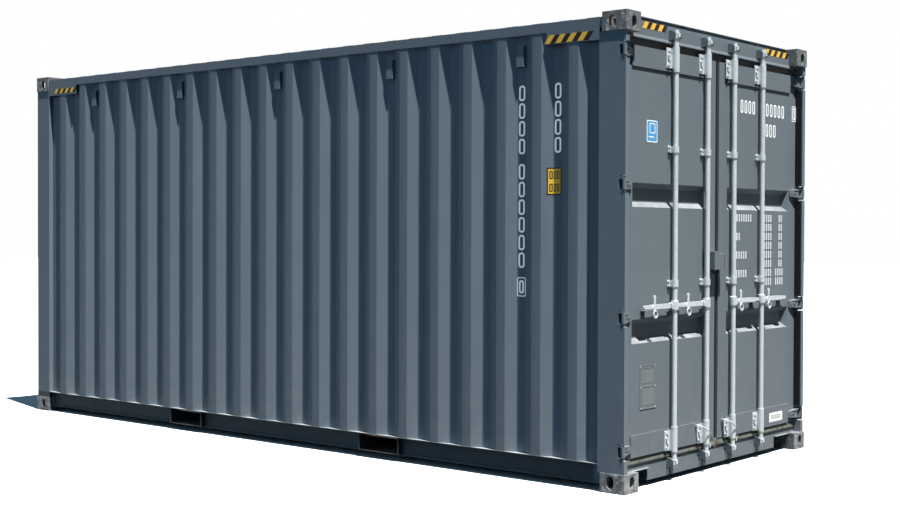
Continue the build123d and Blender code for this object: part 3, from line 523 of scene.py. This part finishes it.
def corrugation():
    s = Shape("corrugation", {
        "Ridges": "Int", "Start": "Float", "End": "Float", "First foot": "Float",
        "Pitch": "Float", "Ridge": "Float", "Slope": "Float", "Depth": "Float",
        "Height": "Float", "Finish": "Material"})
    count = s.sum("MULTIPLY_ADD", s.given("Ridges"), 4.0, 2.0)
    index = s.make("GeometryNodeInputIndex")
    first = s.sum("LESS_THAN", index, 0.5)
    last = s.sum("GREATER_THAN", index, s.sum("SUBTRACT", count, 1.5))
    between = s.sum("SUBTRACT", 1.0, s.sum("ADD", first, last))
    step = s.sum("SUBTRACT", index, 1.0)
    ridge = s.sum("FLOOR", s.sum("DIVIDE", step, 4.0))
    corner = s.sum("SUBTRACT", step, s.sum("MULTIPLY", ridge, 4.0))
    up, over, down = (s.sum("GREATER_THAN", corner, edge) for edge in (0.5, 1.5, 2.5))
    run = s.sum("MULTIPLY_ADD", ridge, s.given("Pitch"), s.given("First foot"))
    run = s.sum("MULTIPLY_ADD", s.sum("ADD", up, down), s.given("Slope"), run)
    run = s.sum("MULTIPLY_ADD", over, s.given("Ridge"), run)
    run = s.sum("MULTIPLY", run, between)
    run = s.sum("MULTIPLY_ADD", first, s.given("Start"), run)
    run = s.sum("MULTIPLY_ADD", last, s.given("End"), run)
    rise = s.sum("MULTIPLY", s.sum("SUBTRACT", up, down), between)
    rise = s.sum("MULTIPLY", rise, s.given("Depth"))
    line = s.make("GeometryNodeMeshLine", Count=count)
    spot = s.make("ShaderNodeCombineXYZ", X=run, Y=rise)
    line = s.make("GeometryNodeSetPosition", Geometry=line, Position=spot)
    curve = s.make("GeometryNodeMeshToCurve", Mesh=line)
    curve = s.make(
        "GeometryNodeFilletCurve", {"mode": "POLY"}, Curve=curve, Radius=BEND, Count=3)
    section = s.make(
        "GeometryNodeCurvePrimitiveQuadrilateral", Width=SHEET, Height=s.given("Height"))
    sheet = s.make(
        "GeometryNodeCurveToMesh", Curve=curve, Profile_Curve=section, Fill_Caps=True)
    s.finish(sheet, s.given("Finish"))
    return s


pressed = corrugation()
print("corrugation inputs", len(pressed.sockets))

# %% [markdown]
# The same tree makes all three walls. Whole ridges lie evenly about the middle of the
# container, as many as fit between the posts, and a flat piece is left at each end.
# The front wall's matrix turns its run across the container and its ridges outwards.

# %% Corrugated walls
SIDE_PITCH = 0.278
SIDE_RIDGE = 0.072
SIDE_RECESS = 0.070
SIDE_SLOPE = (SIDE_PITCH - SIDE_RIDGE - SIDE_RECESS) / 2
SIDE_DEPTH = 0.036
END_PITCH = 0.250
END_RIDGE = 0.110
END_RECESS = 0.104
END_DEPTH = 0.040


def corrugated_wall(node, pitch, ridge, recess, depth, start, end, low, high, matrix):
    """Bake one wall along X with its ridges towards +Y, and put it where its node is."""
    slope = (pitch - ridge - recess) / 2
    half = ridge / 2 + slope
    # Ridge k has its middle at (k + 0.5) pitches; the first is the one clear of the start.
    k = int((start + half) // pitch)
    while (k + 0.5) * pitch - half <= start:
        k = k + 1
    first = (k + 0.5) * pitch - half
    ridges = int((end - first - 2 * half) // pitch) + 1
    wall = pressed.bake(
        node + "_sheet", Ridges=ridges, Start=start, End=end, First_foot=first, Pitch=pitch,
        Ridge=ridge, Slope=slope, Depth=depth, Height=high - low, Finish=wall_paint)
    shift_mesh(wall, matrix @ Matrix.Translation((0, -depth - SHEET / 2, (low + high) / 2)))
    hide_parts(node)
    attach(wall, "container")
    print(node, "ridges", ridges, "faces", len(wall.data.polygons))
    return wall


wall_low, wall_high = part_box("side_wall_left")
MIRROR_Y = Matrix.Diagonal((1, -1, 1, 1))
RIDGE_Y = -wall_low[1]
for node, side in (("side_wall_left", MIRROR_Y), ("side_wall_right", Matrix.Identity(4))):
    corrugated_wall(
        node, SIDE_PITCH, SIDE_RIDGE, SIDE_RECESS, SIDE_DEPTH, wall_low[0], wall_high[0],
        wall_low[2], wall_high[2], side @ Matrix.Translation((0, RIDGE_Y, 0)))
end_low, end_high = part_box("front_wall")
TO_FRONT = Matrix(((0, -1, 0, end_low[0]), (1, 0, 0, 0), (0, 0, 1, 0), (0, 0, 0, 1)))
corrugated_wall(
    "front_wall", END_PITCH, END_RIDGE, END_RECESS, END_DEPTH, end_low[1], end_high[1],
    end_low[2], end_high[2], TO_FRONT)

# %% [markdown]
# Marks, rings and bent profiles are built face by face in a bmesh, which is quick for
# shapes that a formula gives. One helper turns such a bmesh into an object on its body.

# %% Pieces from a bmesh


def plain_piece(name, shape, material, body):
    """Turn a bmesh into an object with one material, attached to its body."""
    bmesh.ops.recalc_face_normals(shape, faces=shape.faces)
    data = bpy.data.meshes.new(name)
    shape.to_mesh(data)
    shape.free()
    data.materials.append(material)
    piece = bpy.data.objects.new(name, data)
    bpy.context.scene.collection.objects.link(piece)
    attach(piece, body)
    return piece


# %% [markdown]
# Paint marks on the corrugated wall must lie in its folds. Each mark starts as a flat
# outline, in metres across and up, and a function of the place gives how far out the
# surface is there. The marks stand for lettering, so they are plain rounded noughts and
# bars. They are film 0.4 mm thick, which also survives the export as real geometry.

# %% Mark outlines


def rounded(width, tall, corner, steps=4):
    """Corners of a rounded rectangle, anticlockwise."""
    points = []
    for k, (sx, sy) in enumerate(((1, -1), (1, 1), (-1, 1), (-1, -1))):
        for i in range(steps + 1):
            turn = (k - 1) * pi / 2 + i / steps * pi / 2
            points.append(Vector((
                sx * (width / 2 - corner) + corner * cos(turn),
                sy * (tall / 2 - corner) + corner * sin(turn))))
    return points


def ring_of(width, tall, stroke, corner, inner_corner):
    """A rounded rectangle and the smaller one that is cut out of it."""
    inner = rounded(width - 2 * stroke, tall - 2 * stroke, inner_corner)
    return rounded(width, tall, corner), inner


def nought(width, tall, stroke):
    corner = width * 0.42
    return ring_of(width, tall, stroke, corner, max(corner - stroke, 0.2 * stroke))


def frame_line(width, tall, stroke):
    return ring_of(width, tall, stroke, 2 * stroke, stroke)


def bar(width, tall, corner=0.3):
    return rounded(width, tall, corner * min(width, tall)), None


# %% [markdown]
# `Film` collects the marks of one colour on one surface. Its place function takes metres
# across, up and out, and gives the point in the model's frame. Each mark becomes a top,
# its edges, and a foot that goes a tenth of a millimetre into the surface, so no gap
# shows under it.

# %% Film on a surface
FILM = 0.0004


class Film:
    """Thin marks on one surface."""

    def __init__(self, place):
        self.place = place
        self.shape = bmesh.new()

    def point(self, corner, out):
        return self.shape.verts.new(self.place(corner.x, corner.y, out))

    def add(self, outline, across, up, lift=0.0):
        outer, inner = outline
        middle = Vector((across, up))
        spots = [[corner + middle for corner in loop] for loop in (outer, inner) if loop]
        tops = [[self.point(c, lift + FILM) for c in loop] for loop in spots]
        feet = [[self.point(c, lift - FILM / 4) for c in loop] for loop in spots]
        n = len(spots[0])
        if inner:
            for i in range(n):
                j = (i + 1) % n
                self.shape.faces.new((tops[0][i], tops[0][j], tops[1][j], tops[1][i]))
                self.shape.faces.new((tops[1][i], tops[1][j], feet[1][j], feet[1][i]))
                self.shape.faces.new((feet[0][j], feet[0][i], feet[1][i], feet[1][j]))
        else:
            self.shape.faces.new(tops[0])
            self.shape.faces.new(list(reversed(feet[0])))
        for i in range(n):
            j = (i + 1) % n
            self.shape.faces.new((tops[0][j], tops[0][i], feet[0][i], feet[0][j]))

    def finish(self, name, material, body):
        return plain_piece(name, self.shape, material, body)


# %% [markdown]
# Stuck-on marks weather too: they wear thin in specks, and the yellow and black films are
# a little glossier than the wall. White and yellow film glow a little in their own colour,
# a painted light that keeps them bright even on a shaded wall.

# %% Mark finishes
WHITE = (0.90, 0.92, 0.93)


def film(name, colour, worn, rough, glow=0.0):
    p = Paint(name)
    wear = p.noise(95.0, detail=4.0).above(0.60, 0.12) * 0.55
    shade = p.noise(6.0, detail=2.0)
    base = p.mix(shade * 0.18, colour, worn)
    base = p.mix(wear, base, worn)
    return p.finish(
        Base_Color=base, Roughness=rough + 0.15 * shade, Specular_IOR_Level=0.06,
        Emission_Color=base, Emission_Strength=glow)


# Painted glow: the white and yellow film emit a little light of their own colour.
white_film = film("white_marks", WHITE, (0.60, 0.63, 0.65), 0.5, glow=0.28)
yellow_film = film(
    "yellow_marks", (0.86, 0.50, 0.07), (0.50, 0.34, 0.10), 0.35, glow=0.08)
black_film = film("black_marks", (0.012, 0.013, 0.015), (0.035, 0.036, 0.038), 0.4)
blue_film = film("blue_label", (0.09, 0.34, 0.66), (0.20, 0.44, 0.66), 0.35)
print("films", white_film.name, yellow_film.name, black_film.name, blue_film.name)

# %% [markdown]
# Beside the rear post the side carries its code upright, one sign above the other: four,
# six and a boxed one in one recess, and four more in the recess next to it. The wall's
# shape is a formula: the distance from the nearest recess's middle gives how far out the
# sheet stands. The same function serves both sides.

# %% Side markings
RECESS_X = 2.224
CODE_TOP = 2.503
CELL = 0.112
GLYPH = (0.048, 0.098)
STROKE = 0.0120
GROUPS = ((4, CODE_TOP), (6, 2.007))
BOXED_MIDDLE = 1.222
BOX_LINE = 0.006


def wall_out(x):
    """How far the side sheet stands out of its recess at x."""
    away = abs((x + SIDE_PITCH / 2) % SIDE_PITCH - SIDE_PITCH / 2)
    return SIDE_DEPTH * min(max((away - SIDE_RECESS / 2) / SIDE_SLOPE, 0.0), 1.0)


def side_place(side):
    """Marks read upright on either side; side is -1 for the left wall."""

    def place(across, up, out):
        x = -side * across
        return Vector((x, side * (RIDGE_Y - SIDE_DEPTH + wall_out(x) + out), up))

    return place


def upright_row(marks, across, top, count):
    for row in range(count):
        marks.add(nought(*GLYPH, STROKE), across, top - (row + 0.5) * CELL)


def side_marks(side, name):
    marks = Film(side_place(side))
    across = -side * RECESS_X
    wide, tall = GLYPH
    for count, top in GROUPS:
        upright_row(marks, across, top, count)
    marks.add(nought(wide * 0.8, tall * 0.85, STROKE), across, BOXED_MIDDLE)
    marks.add(frame_line(wide + 0.020, tall + 0.024, BOX_LINE), across, BOXED_MIDDLE)
    upright_row(marks, across - side * SIDE_PITCH, CODE_TOP, 4)
    return marks.finish(name, white_film, "container")


left_marks = side_marks(-1, "side_marks_left")
right_marks = side_marks(1, "side_marks_right")
print("side marks", len(left_marks.data.polygons), len(right_marks.data.polygons))

# %% [markdown]
# A small yellow label for the height lies partly over a fold. A flat sticker would cut
# through the metal there, so its ground and its level edges are narrow slices side by
# side, which follow the fold as the film on the real wall does.

# %% Height labels
LABEL_X = RECESS_X + SIDE_PITCH - 0.022
LABEL_UP = 1.886
LABEL_TALL = 0.158
SLICES = 10
SLICE_STEP = 0.0086
SLICE_WIDE = 0.0087
EDGE = 0.007
EDGE_UPS = (1.805, 1.967)
EDGE_OUT = 0.0455
SIGN = (0.019, 0.052)
SIGN_STROKE = 0.0062
SIGN_STEP = 0.025
SIGN_UPS = (1.925, 1.846)


def slices(marks, across, up, tall, lift=0.0):
    for i in range(SLICES):
        place = across + (i - (SLICES - 1) / 2) * SLICE_STEP
        marks.add(bar(SLICE_WIDE, tall, 0.01), place, up, lift=lift)


def side_label(side, name):
    """Yellow ground, black edges and two rows of three noughts in place of figures."""
    across = -side * LABEL_X
    ground = Film(side_place(side))
    slices(ground, across, LABEL_UP, LABEL_TALL)
    ground.finish(name + "_ground", yellow_film, "container")
    ink = Film(side_place(side))
    for up in EDGE_UPS:
        slices(ink, across, up, EDGE, lift=FILM)
    for way in (-1, 1):
        upright = bar(EDGE, EDGE_UPS[1] - EDGE_UPS[0] + EDGE, 0.01)
        ink.add(upright, across + way * EDGE_OUT, LABEL_UP, lift=FILM)
    for up in SIGN_UPS:
        for i in (-1, 0, 1):
            ink.add(nought(*SIGN, SIGN_STROKE), across + i * SIGN_STEP, up, lift=FILM)
    return ink.finish(name + "_print", black_film, "container")


for side, name in ((-1, "height_label_left"), (1, "height_label_right")):
    print(name, "faces", len(side_label(side, name).data.polygons))

# %% [markdown]
# Slanted yellow bars on black warn of the high top corners. They are a row of equal
# leaning bars, so Geometry Nodes make them: one sheared slab, instanced along a line.

# %% The leaning bars' tree


def leaning_bars():
    s = Shape("leaning_bars", {
        "Bars": "Int", "Pitch": "Float", "Width": "Float", "Height": "Float",
        "Lean": "Float", "Thickness": "Float", "Finish": "Material"})
    size = s.make(
        "ShaderNodeCombineXYZ", X=s.given("Width"), Y=s.given("Height"),
        Z=s.given("Thickness"))
    slab = s.make("GeometryNodeMeshCube", Size=size)
    here = s.make("GeometryNodeInputPosition")
    up = s.make("ShaderNodeSeparateXYZ", out="Y", Vector=here)
    push = s.make("ShaderNodeCombineXYZ", X=s.sum("MULTIPLY", up, s.given("Lean")))
    slab = s.make("GeometryNodeSetPosition", Geometry=slab, Offset=push)
    step = s.make("ShaderNodeCombineXYZ", X=s.given("Pitch"))
    line = s.make("GeometryNodeMeshLine", Count=s.given("Bars"), Offset=step)
    row = s.make("GeometryNodeInstanceOnPoints", Points=line, Instance=slab)
    s.finish(row, s.given("Finish"))
    return s


leaning = leaning_bars()
print("leaning bars' inputs", len(leaning.sockets))

# %% [markdown]
# The same tree serves the corner plates on both sides and the header over the doors. It
# draws in a flat local frame, across, up and out, and a matrix stands that frame up
# against the surface. A single wide bar is the black ground.

# %% Hazard bars
TO_DOOR = Matrix(((0, 0, 1, 0), (1, 0, 0, 0), (0, 1, 0, 0), (0, 0, 0, 1)))
TO_SIDE = Matrix(((1, 0, 0, 0), (0, 0, -1, 0), (0, 1, 0, 0), (0, 0, 0, 1)))
SIDE_FACE = 1.213
HEADER_FACE = 2.962
LEAN = 0.75


def hazard_strip(name, matrix, start, length, low, tall, bars=4):
    """Black strip with yellow bars on it, from start along the local X at height low."""
    pitch = length / bars
    strips = (
        ("_black", 1, 0.0, length, black_film, FILM),
        ("_yellow", bars, pitch, pitch / 2, yellow_film, 2 * FILM),
    )
    for suffix, count, step, width, finish, thick in strips:
        piece = leaning.bake(
            name + suffix, Bars=count, Pitch=step, Width=width, Height=tall, Lean=LEAN,
            Thickness=thick, Finish=finish)
        middle = Vector((start + width / 2, low + tall / 2, thick / 2))
        shift_mesh(piece, matrix @ Matrix.Translation(middle))
        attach(piece, "container")
    print(name, "bars", bars)


for side, turn_side in (("left", Matrix.Identity(4)), ("right", MIRROR_Y)):
    flat = turn_side @ Matrix.Translation((0, -SIDE_FACE, 0)) @ TO_SIDE
    hazard_strip("hazard_near_" + side, flat, start=2.441, length=0.329, low=2.736, tall=0.052)
    hazard_strip("hazard_far_" + side, flat, start=-2.756, length=0.295, low=2.745, tall=0.040)
header = Matrix.Translation((HEADER_FACE, 0, 0)) @ TO_DOOR
hazard_strip(
    "hazard_header_left", header, start=-0.925, length=0.268, low=2.822, tall=0.042, bars=3)
hazard_strip(
    "hazard_header_right", header, start=0.690, length=0.355, low=2.822, tall=0.042)

# %% [markdown]
# Over the doors the header ends in a lip that stands above its box. Looked at from below,
# the recess under that lip is the dark line along the top of the door end. It is one
# bent profile, so it is drawn once in section and drawn out from casting to casting.

# %% Header lip
LIP_HALF = 1.055
LIP_SECTION = (
    (2.9400, 2.8465), (2.9620, 2.8465), (2.9620, 2.8660), (2.9360, 2.8660), (2.9360, 2.8880),
    (2.9585, 2.8880), (2.9585, 2.8915), (2.9310, 2.8915), (2.9310, 2.8665), (2.9400, 2.8665),
)


def prism(shape, *ends):
    """Add the closed block between two like outlines, each a list of points."""
    first, last = ([shape.verts.new(point) for point in end] for end in ends)
    for i in range(len(first)):
        j = (i + 1) % len(first)
        shape.faces.new((first[i], first[j], last[j], last[i]))
    shape.faces.new(first)
    shape.faces.new(last)


lip_shape = bmesh.new()
prism(lip_shape, *([(x, y, z) for x, z in LIP_SECTION] for y in (-LIP_HALF, LIP_HALF)))
lip = plain_piece("header_lip", lip_shape, wall_paint, "container")
print("header lip", len(lip.data.polygons))

# %% [markdown]
# Each handle has a round ring below its catch, which takes a seal. As in the picture,
# the rings aren't mirrored from leaf to leaf.

# %% Seal rings
RING_R = 0.0225
RING_WIRE = 0.0042
RING_X = 3.0080
RING_Z = 1.064
ROUND_RING = 28
ROUND_WIRE = 10
HANDLES = (
    ("handle_1", -0.590, -0.254), ("handle_2", -0.180, -0.254),
    ("handle_3", 0.180, 0.094), ("handle_4", 0.590, 0.094),
)


def seal_ring(handle, y):
    shape = bmesh.new()
    loops = []
    for i in range(ROUND_RING):
        turn = 2 * pi * i / ROUND_RING
        out = Vector((0, cos(turn), sin(turn)))
        spots = []
        for j in range(ROUND_WIRE):
            lean = 2 * pi * j / ROUND_WIRE
            middle = Vector((RING_X + RING_WIRE * sin(lean), y, RING_Z))
            spots.append(shape.verts.new(middle + out * (RING_R + RING_WIRE * cos(lean))))
        loops.append(spots)
    for i in range(ROUND_RING):
        for j in range(ROUND_WIRE):
            k, m = (i + 1) % ROUND_RING, (j + 1) % ROUND_WIRE
            shape.faces.new((loops[i][j], loops[k][j], loops[k][m], loops[i][m]))
    for face in shape.faces:
        face.smooth = True
    return plain_piece(handle + "_seal_ring", shape, zinc_finish, handle)


for handle, bar_y, reach in HANDLES:
    seal_ring(handle, bar_y + reach)
print("seal rings", len(HANDLES))

# %% [markdown]
# A thin black rubber strip lines the inner face of each door post between its hinges. It
# is partly the seal's lip and partly painted shade: from the camera's side it is the black
# band of shade at the far edge of the right door.

# %% Post strips
SEAL_AND_SHADE_SECTION = (
    (2.968, 1.1729), (2.968, 1.1705), (2.974, 1.1695), (2.980, 1.1707), (3.004, 1.1707),
    (3.011, 1.1729),
)
SPANS = ((0.308, 0.999), (1.111, 1.801), (1.913, 2.604))
for side, hand in (("left", -1), ("right", 1)):
    shape = bmesh.new()
    for span in SPANS:
        prism(shape, *([(x, y * hand, z) for x, y in SEAL_AND_SHADE_SECTION] for z in span))
    plain_piece(side + "_post_strip", shape, rubber_finish, "container")
print("post strips", 2 * len(SPANS))

# %% [markdown]
# The right door carries a code in two rows and a table of weights in eight. They hold
# plain noughts, since the real signs belong to one owner's box and not to containers at
# large.

# %% Door code and table
LEAF_FACE = 2.964
DOOR_CELL = 0.057
DOOR_GLYPH = (0.038, 0.090)
DOOR_STROKE = 0.0105
CODE_UP = 2.434
SIZE_CODE_UP = 2.290
OWNER_Y = 0.315
SERIAL_Y = 0.629
SERIAL_CELL = 0.060
CHECK_Y = 1.110
TABLE_TOP = 1.703
TABLE_STEP = 0.0636
TABLE_CELL = 0.0330
TABLE_GLYPH = (0.015, 0.050)
TABLE_STROKE = 0.0045
LABEL_Y = 0.200
FIGURE_Y = 0.605
LABELS = (9, 0, 4, 0, 7, 0, 7, 0)
UNITS = ((0.900, 2),) * 6 + ((0.850, 4),) * 2


def door_place(across, up, out):
    return Vector((LEAF_FACE + out, across, up))


def row_of_noughts(marks, first, up, count, pitch, glyph, stroke, lift=0.0):
    for i in range(count):
        marks.add(nought(*glyph, stroke), first + (i + 0.5) * pitch, up, lift=lift)


code = Film(door_place)
for first, up, signs, cell in (
        (OWNER_Y, CODE_UP, 4, DOOR_CELL), (SERIAL_Y, CODE_UP, 6, SERIAL_CELL),
        (CHECK_Y, CODE_UP, 1, DOOR_CELL), (SERIAL_Y, SIZE_CODE_UP, 4, DOOR_CELL)):
    row_of_noughts(code, first, up, signs, cell, DOOR_GLYPH, DOOR_STROKE)
code.add(frame_line(0.064, 0.112, 0.005), CHECK_Y + DOOR_CELL / 2, CODE_UP)
for line, (label_count, (unit_y, unit_count)) in enumerate(zip(LABELS, UNITS)):
    up = TABLE_TOP - (line + 0.5) * TABLE_STEP
    for first, signs in ((LABEL_Y, label_count), (FIGURE_Y, 6), (unit_y, unit_count)):
        row_of_noughts(code, first, up, signs, TABLE_CELL, TABLE_GLYPH, TABLE_STROKE)
door_code = code.finish("door_code", white_film, "right_door")
print("door code", len(door_code.data.polygons))

# %% [markdown]
# The left door has a blue sticker, and the foot of the right door a small white one.
# The white one lies on the door's raised lower rail, 8 mm further out than the panel.
# Their words are left out: a frame, a smaller frame and a bar stand for them on the blue
# one, and a row of noughts on the white one.

# %% Stickers
BLUE_Y = -0.8245
BLUE_UP = 2.195
NOTICE_Y = 0.868
NOTICE_UP = 0.257
NOTICE_OUT = 0.008
NOTICE_FIRST = 0.7895
NOTICE_CELL = 0.0196


def notice_place(across, up, out):
    return door_place(across, up, out + NOTICE_OUT)


sticker = Film(door_place)
sticker.add(bar(0.125, 0.136, 0.04), BLUE_Y, BLUE_UP)
sticker.finish("blue_sticker", blue_film, "left_door")
ink = Film(door_place)
ink.add(frame_line(0.124, 0.135, 0.0055), BLUE_Y, BLUE_UP, lift=FILM)
ink.add(frame_line(0.066, 0.062, 0.005), BLUE_Y + 0.004, BLUE_UP + 0.019, lift=FILM)
ink.add(bar(0.060, 0.006), BLUE_Y - 0.008, BLUE_UP - 0.035, lift=FILM)
ink.finish("blue_sticker_print", white_film, "left_door")

notice = Film(notice_place)
notice.add(bar(0.201, 0.064, 0.05), NOTICE_Y, NOTICE_UP)
notice.finish("white_sticker", white_film, "right_door")
ink = Film(notice_place)
row_of_noughts(
    ink, NOTICE_FIRST, NOTICE_UP, 8, NOTICE_CELL, (0.014, 0.030), 0.0035, lift=FILM)
ink.finish("white_sticker_print", black_film, "right_door")
print("stickers", sticker.place(BLUE_Y, BLUE_UP, 0), notice.place(NOTICE_Y, NOTICE_UP, 0))

# %% [markdown]
# The owner's plate is thin embossed sheet, painted over with the door and held by blind
# rivets down both edges. Only its rolled rim and two blank fields stand up from it.

# %% Riveted plate
PLATE_Y = -0.858
PLATE_UP = 0.615
PLATE_WIDE = 0.188
PLATE_TALL = 0.276
PLATE_LIFT = 0.0012
RAISED = 0.0024
RIM = 0.0035
FIELD_WIDE = PLATE_WIDE - 0.040
FIELD_LINE = 0.0025
FIELDS = ((0.072, 0.095), (-0.055, 0.115))

plate_finish = painted_steel(
    "plate_paint", (0.150, 0.180, 0.195), (0.26, 0.28, 0.28), grit=0.5, chips=1.0)
plate = Film(door_place)
plate.add(bar(PLATE_WIDE, PLATE_TALL, 0.05), PLATE_Y, PLATE_UP, lift=PLATE_LIFT)
rim = frame_line(PLATE_WIDE - 0.006, PLATE_TALL - 0.006, RIM)
plate.add(rim, PLATE_Y, PLATE_UP, lift=RAISED)
for rise, tall in FIELDS:
    field = frame_line(FIELD_WIDE, tall, FIELD_LINE)
    plate.add(field, PLATE_Y, PLATE_UP + rise, lift=RAISED)
owner_plate = plate.finish("owner_plate", plate_finish, "left_door")
print("owner plate", len(owner_plate.data.polygons))

# %% [markdown]
# Bolts hold the bar bearings and the hinge blades, and rivets hold the plate. Each is a
# low cylinder on a washer: six corners make a hexagon bolt, twelve a round rivet. One
# tree sets them on points, which come in as a mesh of loose vertices.

# %% The bolts' tree
WASHER_SPREAD = 1.45
WASHER_THICK = 0.3


def bolt_tree():
    s = Shape("bolt_heads", {
        "Points": "Geometry", "Radius": "Float", "Height": "Float", "Corners": "Int",
        "Finish": "Material"})
    high = s.sum("MULTIPLY", s.given("Height"), 0.5)
    flat = s.sum("MULTIPLY", s.given("Height"), WASHER_THICK)
    wide = s.sum("MULTIPLY", s.given("Radius"), WASHER_SPREAD)
    washer = s.make("GeometryNodeMeshCylinder", Vertices=16, Radius=wide, Depth=flat)
    head = s.make(
        "GeometryNodeMeshCylinder", Vertices=s.given("Corners"), Radius=s.given("Radius"),
        Depth=s.given("Height"))
    lift = s.make("ShaderNodeCombineXYZ", Z=s.sum("ADD", high, flat))
    head = s.make("GeometryNodeTransform", Geometry=head, Translation=lift)
    both = s.make("GeometryNodeJoinGeometry", Geometry=washer)
    s.feed(both.node.inputs["Geometry"], head)
    placed = s.make("GeometryNodeInstanceOnPoints", Points=s.given("Points"), Instance=both)
    s.finish(placed, s.given("Finish"))
    return s


bolt_heads = bolt_tree()
print("bolt inputs", len(bolt_heads.sockets))

# %% [markdown]
# The points are given in metres across, up and out of the face, and a matrix stands them
# up. The bearings have four bolts beside each sleeve and two beside each guide, the
# hinge blades two each, and the plate six rivets. The blades slope out from the leaf's
# face to their pin, and their bolts lean with them.

# %% Bolts and rivets


def set_bolts(
        name, body, points, matrix, radius=0.009, height=0.008, corners=6, finish=zinc_finish):
    cloud = bpy.data.meshes.new(name)
    cloud.from_pydata(points, [], [])
    piece = bolt_heads.bake(
        name, start=cloud, Radius=radius, Height=height, Corners=corners, Finish=finish)
    shift_mesh(piece, matrix)
    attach(piece, body)
    print(name, len(points))


BAR_YS = {"left": (-0.590, -0.180), "right": (0.180, 0.590)}
SLEEVES = (0.257, 2.665)
SLEEVE_BOLT = 0.066
SLEEVE_FACE = 0.013
GUIDES = (1.248, 2.093)
GUIDE_BOLT = 0.037
GUIDE_FACE = 0.005
ON_LEAF = Matrix.Translation((LEAF_FACE, 0, 0)) @ TO_DOOR
for side, bar_ys in BAR_YS.items():
    points = []
    for y in bar_ys:
        for z in SLEEVES:
            for k in range(4):
                stagger = 0.012 * (k % 2)
                rise = 0.030 * (k - 1.5)
                points.append((y - SLEEVE_BOLT + stagger, z + rise, SLEEVE_FACE))
        for z in GUIDES:
            points += [(y - GUIDE_BOLT, z + rise, GUIDE_FACE) for rise in (-0.012, 0.012)]
    set_bolts("bearing_bolts_" + side, side + "_door", points, ON_LEAF)

HINGE_ZS = (0.252, 1.0547, 1.8573, 2.660)
BLADE_SPOT = Matrix.Translation((2.9785, 1.1115, 0))
BLADE_TURN = Matrix.Rotation(radians(-12.7), 4, "Z")
points = [(across, z, 0.0) for z in HINGE_ZS for across in (-0.020, 0.020)]
for side, mirror in (("right", Matrix.Identity(4)), ("left", MIRROR_Y)):
    set_bolts(
        "hinge_bolts_" + side, side + "_door", points,
        mirror @ BLADE_SPOT @ BLADE_TURN @ TO_DOOR, radius=0.0085, height=0.005, corners=12,
        finish=door_paint)

RIVET_IN = 0.009
RIVET_OUT = 0.0016
rivets = []
for way in (-1, 1):
    for step in (-1, 0, 1):
        rivets.append((
            PLATE_Y + way * (PLATE_WIDE / 2 - RIVET_IN),
            PLATE_UP + step * (PLATE_TALL / 2 - RIVET_IN), RIVET_OUT))
set_bolts(
    "plate_rivets", "left_door", rivets, ON_LEAF, radius=0.0035, height=0.0022, corners=12)

# %% [markdown]
# A pale floor catches the shadow. It looks pale only to the camera, in reflections and
# through clear things, and is dark to every other ray, so that it throws no light up at
# the container.

# %% Floor


def backdrop_floor():
    p = Paint("floor")
    rays = p.node("ShaderNodeLightPath")
    seen = Value(p, rays.outputs["Is Camera Ray"])
    for kind in ("Is Glossy Ray", "Is Transmission Ray"):
        seen = seen.larger(rays.outputs[kind])
    dim = p.make("ShaderNodeBsdfDiffuse", Color=(0.012, 0.016, 0.020))
    pale = p.make("ShaderNodeBsdfDiffuse", Color=(0.86, 0.86, 0.86))
    pick = p.node("ShaderNodeMixShader", Fac=seen)
    p.feed(pick.inputs[1], dim)
    p.feed(pick.inputs[2], pale)
    p.feed(p.output.inputs["Surface"], pick.outputs[0])
    return p.material


bpy.ops.mesh.primitive_plane_add(size=120.0, location=(0, 0, 0))
floor = bpy.context.object
floor.name = "floor"
floor.data.materials.append(backdrop_floor())
print("floor", [round(size) for size in floor.dimensions])

# %% [markdown]
# The key is a steep sun from beyond the doors that only grazes the near side, as the
# shadows in the picture tell. The near side gets its blue tone from the open sky, a wide
# soft light that comes in low from its own side. A sun's distance doesn't matter, so each
# light is placed by its direction alone.

# %% Sun and sky
SUN_TURN = radians(-15.4)
SUN_HEIGHT = radians(71.1)


def far_light(name, energy, colour, spread, toward):
    data = bpy.data.lights.new(name, "SUN")
    data.energy = energy
    data.color = colour
    data.angle = radians(spread)
    light = bpy.data.objects.new(name, data)
    light.rotation_euler = Vector(toward).to_track_quat("Z", "Y").to_euler()
    bpy.context.scene.collection.objects.link(light)
    print(name, "energy", energy)


far_light(
    "key", 10.3, (1.0, 0.98, 0.95), 1.0,
    (cos(SUN_HEIGHT) * cos(SUN_TURN), cos(SUN_HEIGHT) * sin(SUN_TURN), sin(SUN_HEIGHT)))
far_light("open_sky", 0.5, (0.34, 0.66, 1.0), 60.0, (-0.15, -1.0, 0.45))

# %% [markdown]
# The world fills the shade with a weak blue. It is white where the camera, a reflection
# or a clear thing looks at it, so the background is white and yet adds no light.

# %% World
world = bpy.data.worlds.new("world")
bpy.context.scene.world = world
world.use_nodes = True
sky = world.node_tree
sky.nodes.clear()
fill = sky.nodes.new("ShaderNodeBackground")
fill.inputs["Color"].default_value = (0.36, 0.72, 1.0, 1.0)
fill.inputs["Strength"].default_value = 0.12
white = sky.nodes.new("ShaderNodeBackground")
white.inputs["Color"].default_value = (1.0, 1.0, 1.0, 1.0)
path = sky.nodes.new("ShaderNodeLightPath")
seen = path.outputs["Is Camera Ray"]
for kind in ("Is Glossy Ray", "Is Transmission Ray"):
    either = sky.nodes.new("ShaderNodeMath")
    either.operation = "MAXIMUM"
    sky.links.new(seen, either.inputs[0])
    sky.links.new(path.outputs[kind], either.inputs[1])
    seen = either.outputs[0]
pick = sky.nodes.new("ShaderNodeMixShader")
for place, source in enumerate((seen, fill.outputs[0], white.outputs[0])):
    sky.links.new(source, pick.inputs[place])
out = sky.nodes.new("ShaderNodeOutputWorld")
sky.links.new(pick.outputs[0], out.inputs[0])
bpy.context.scene.view_settings.view_transform = "Standard"
print("world nodes", len(sky.nodes))
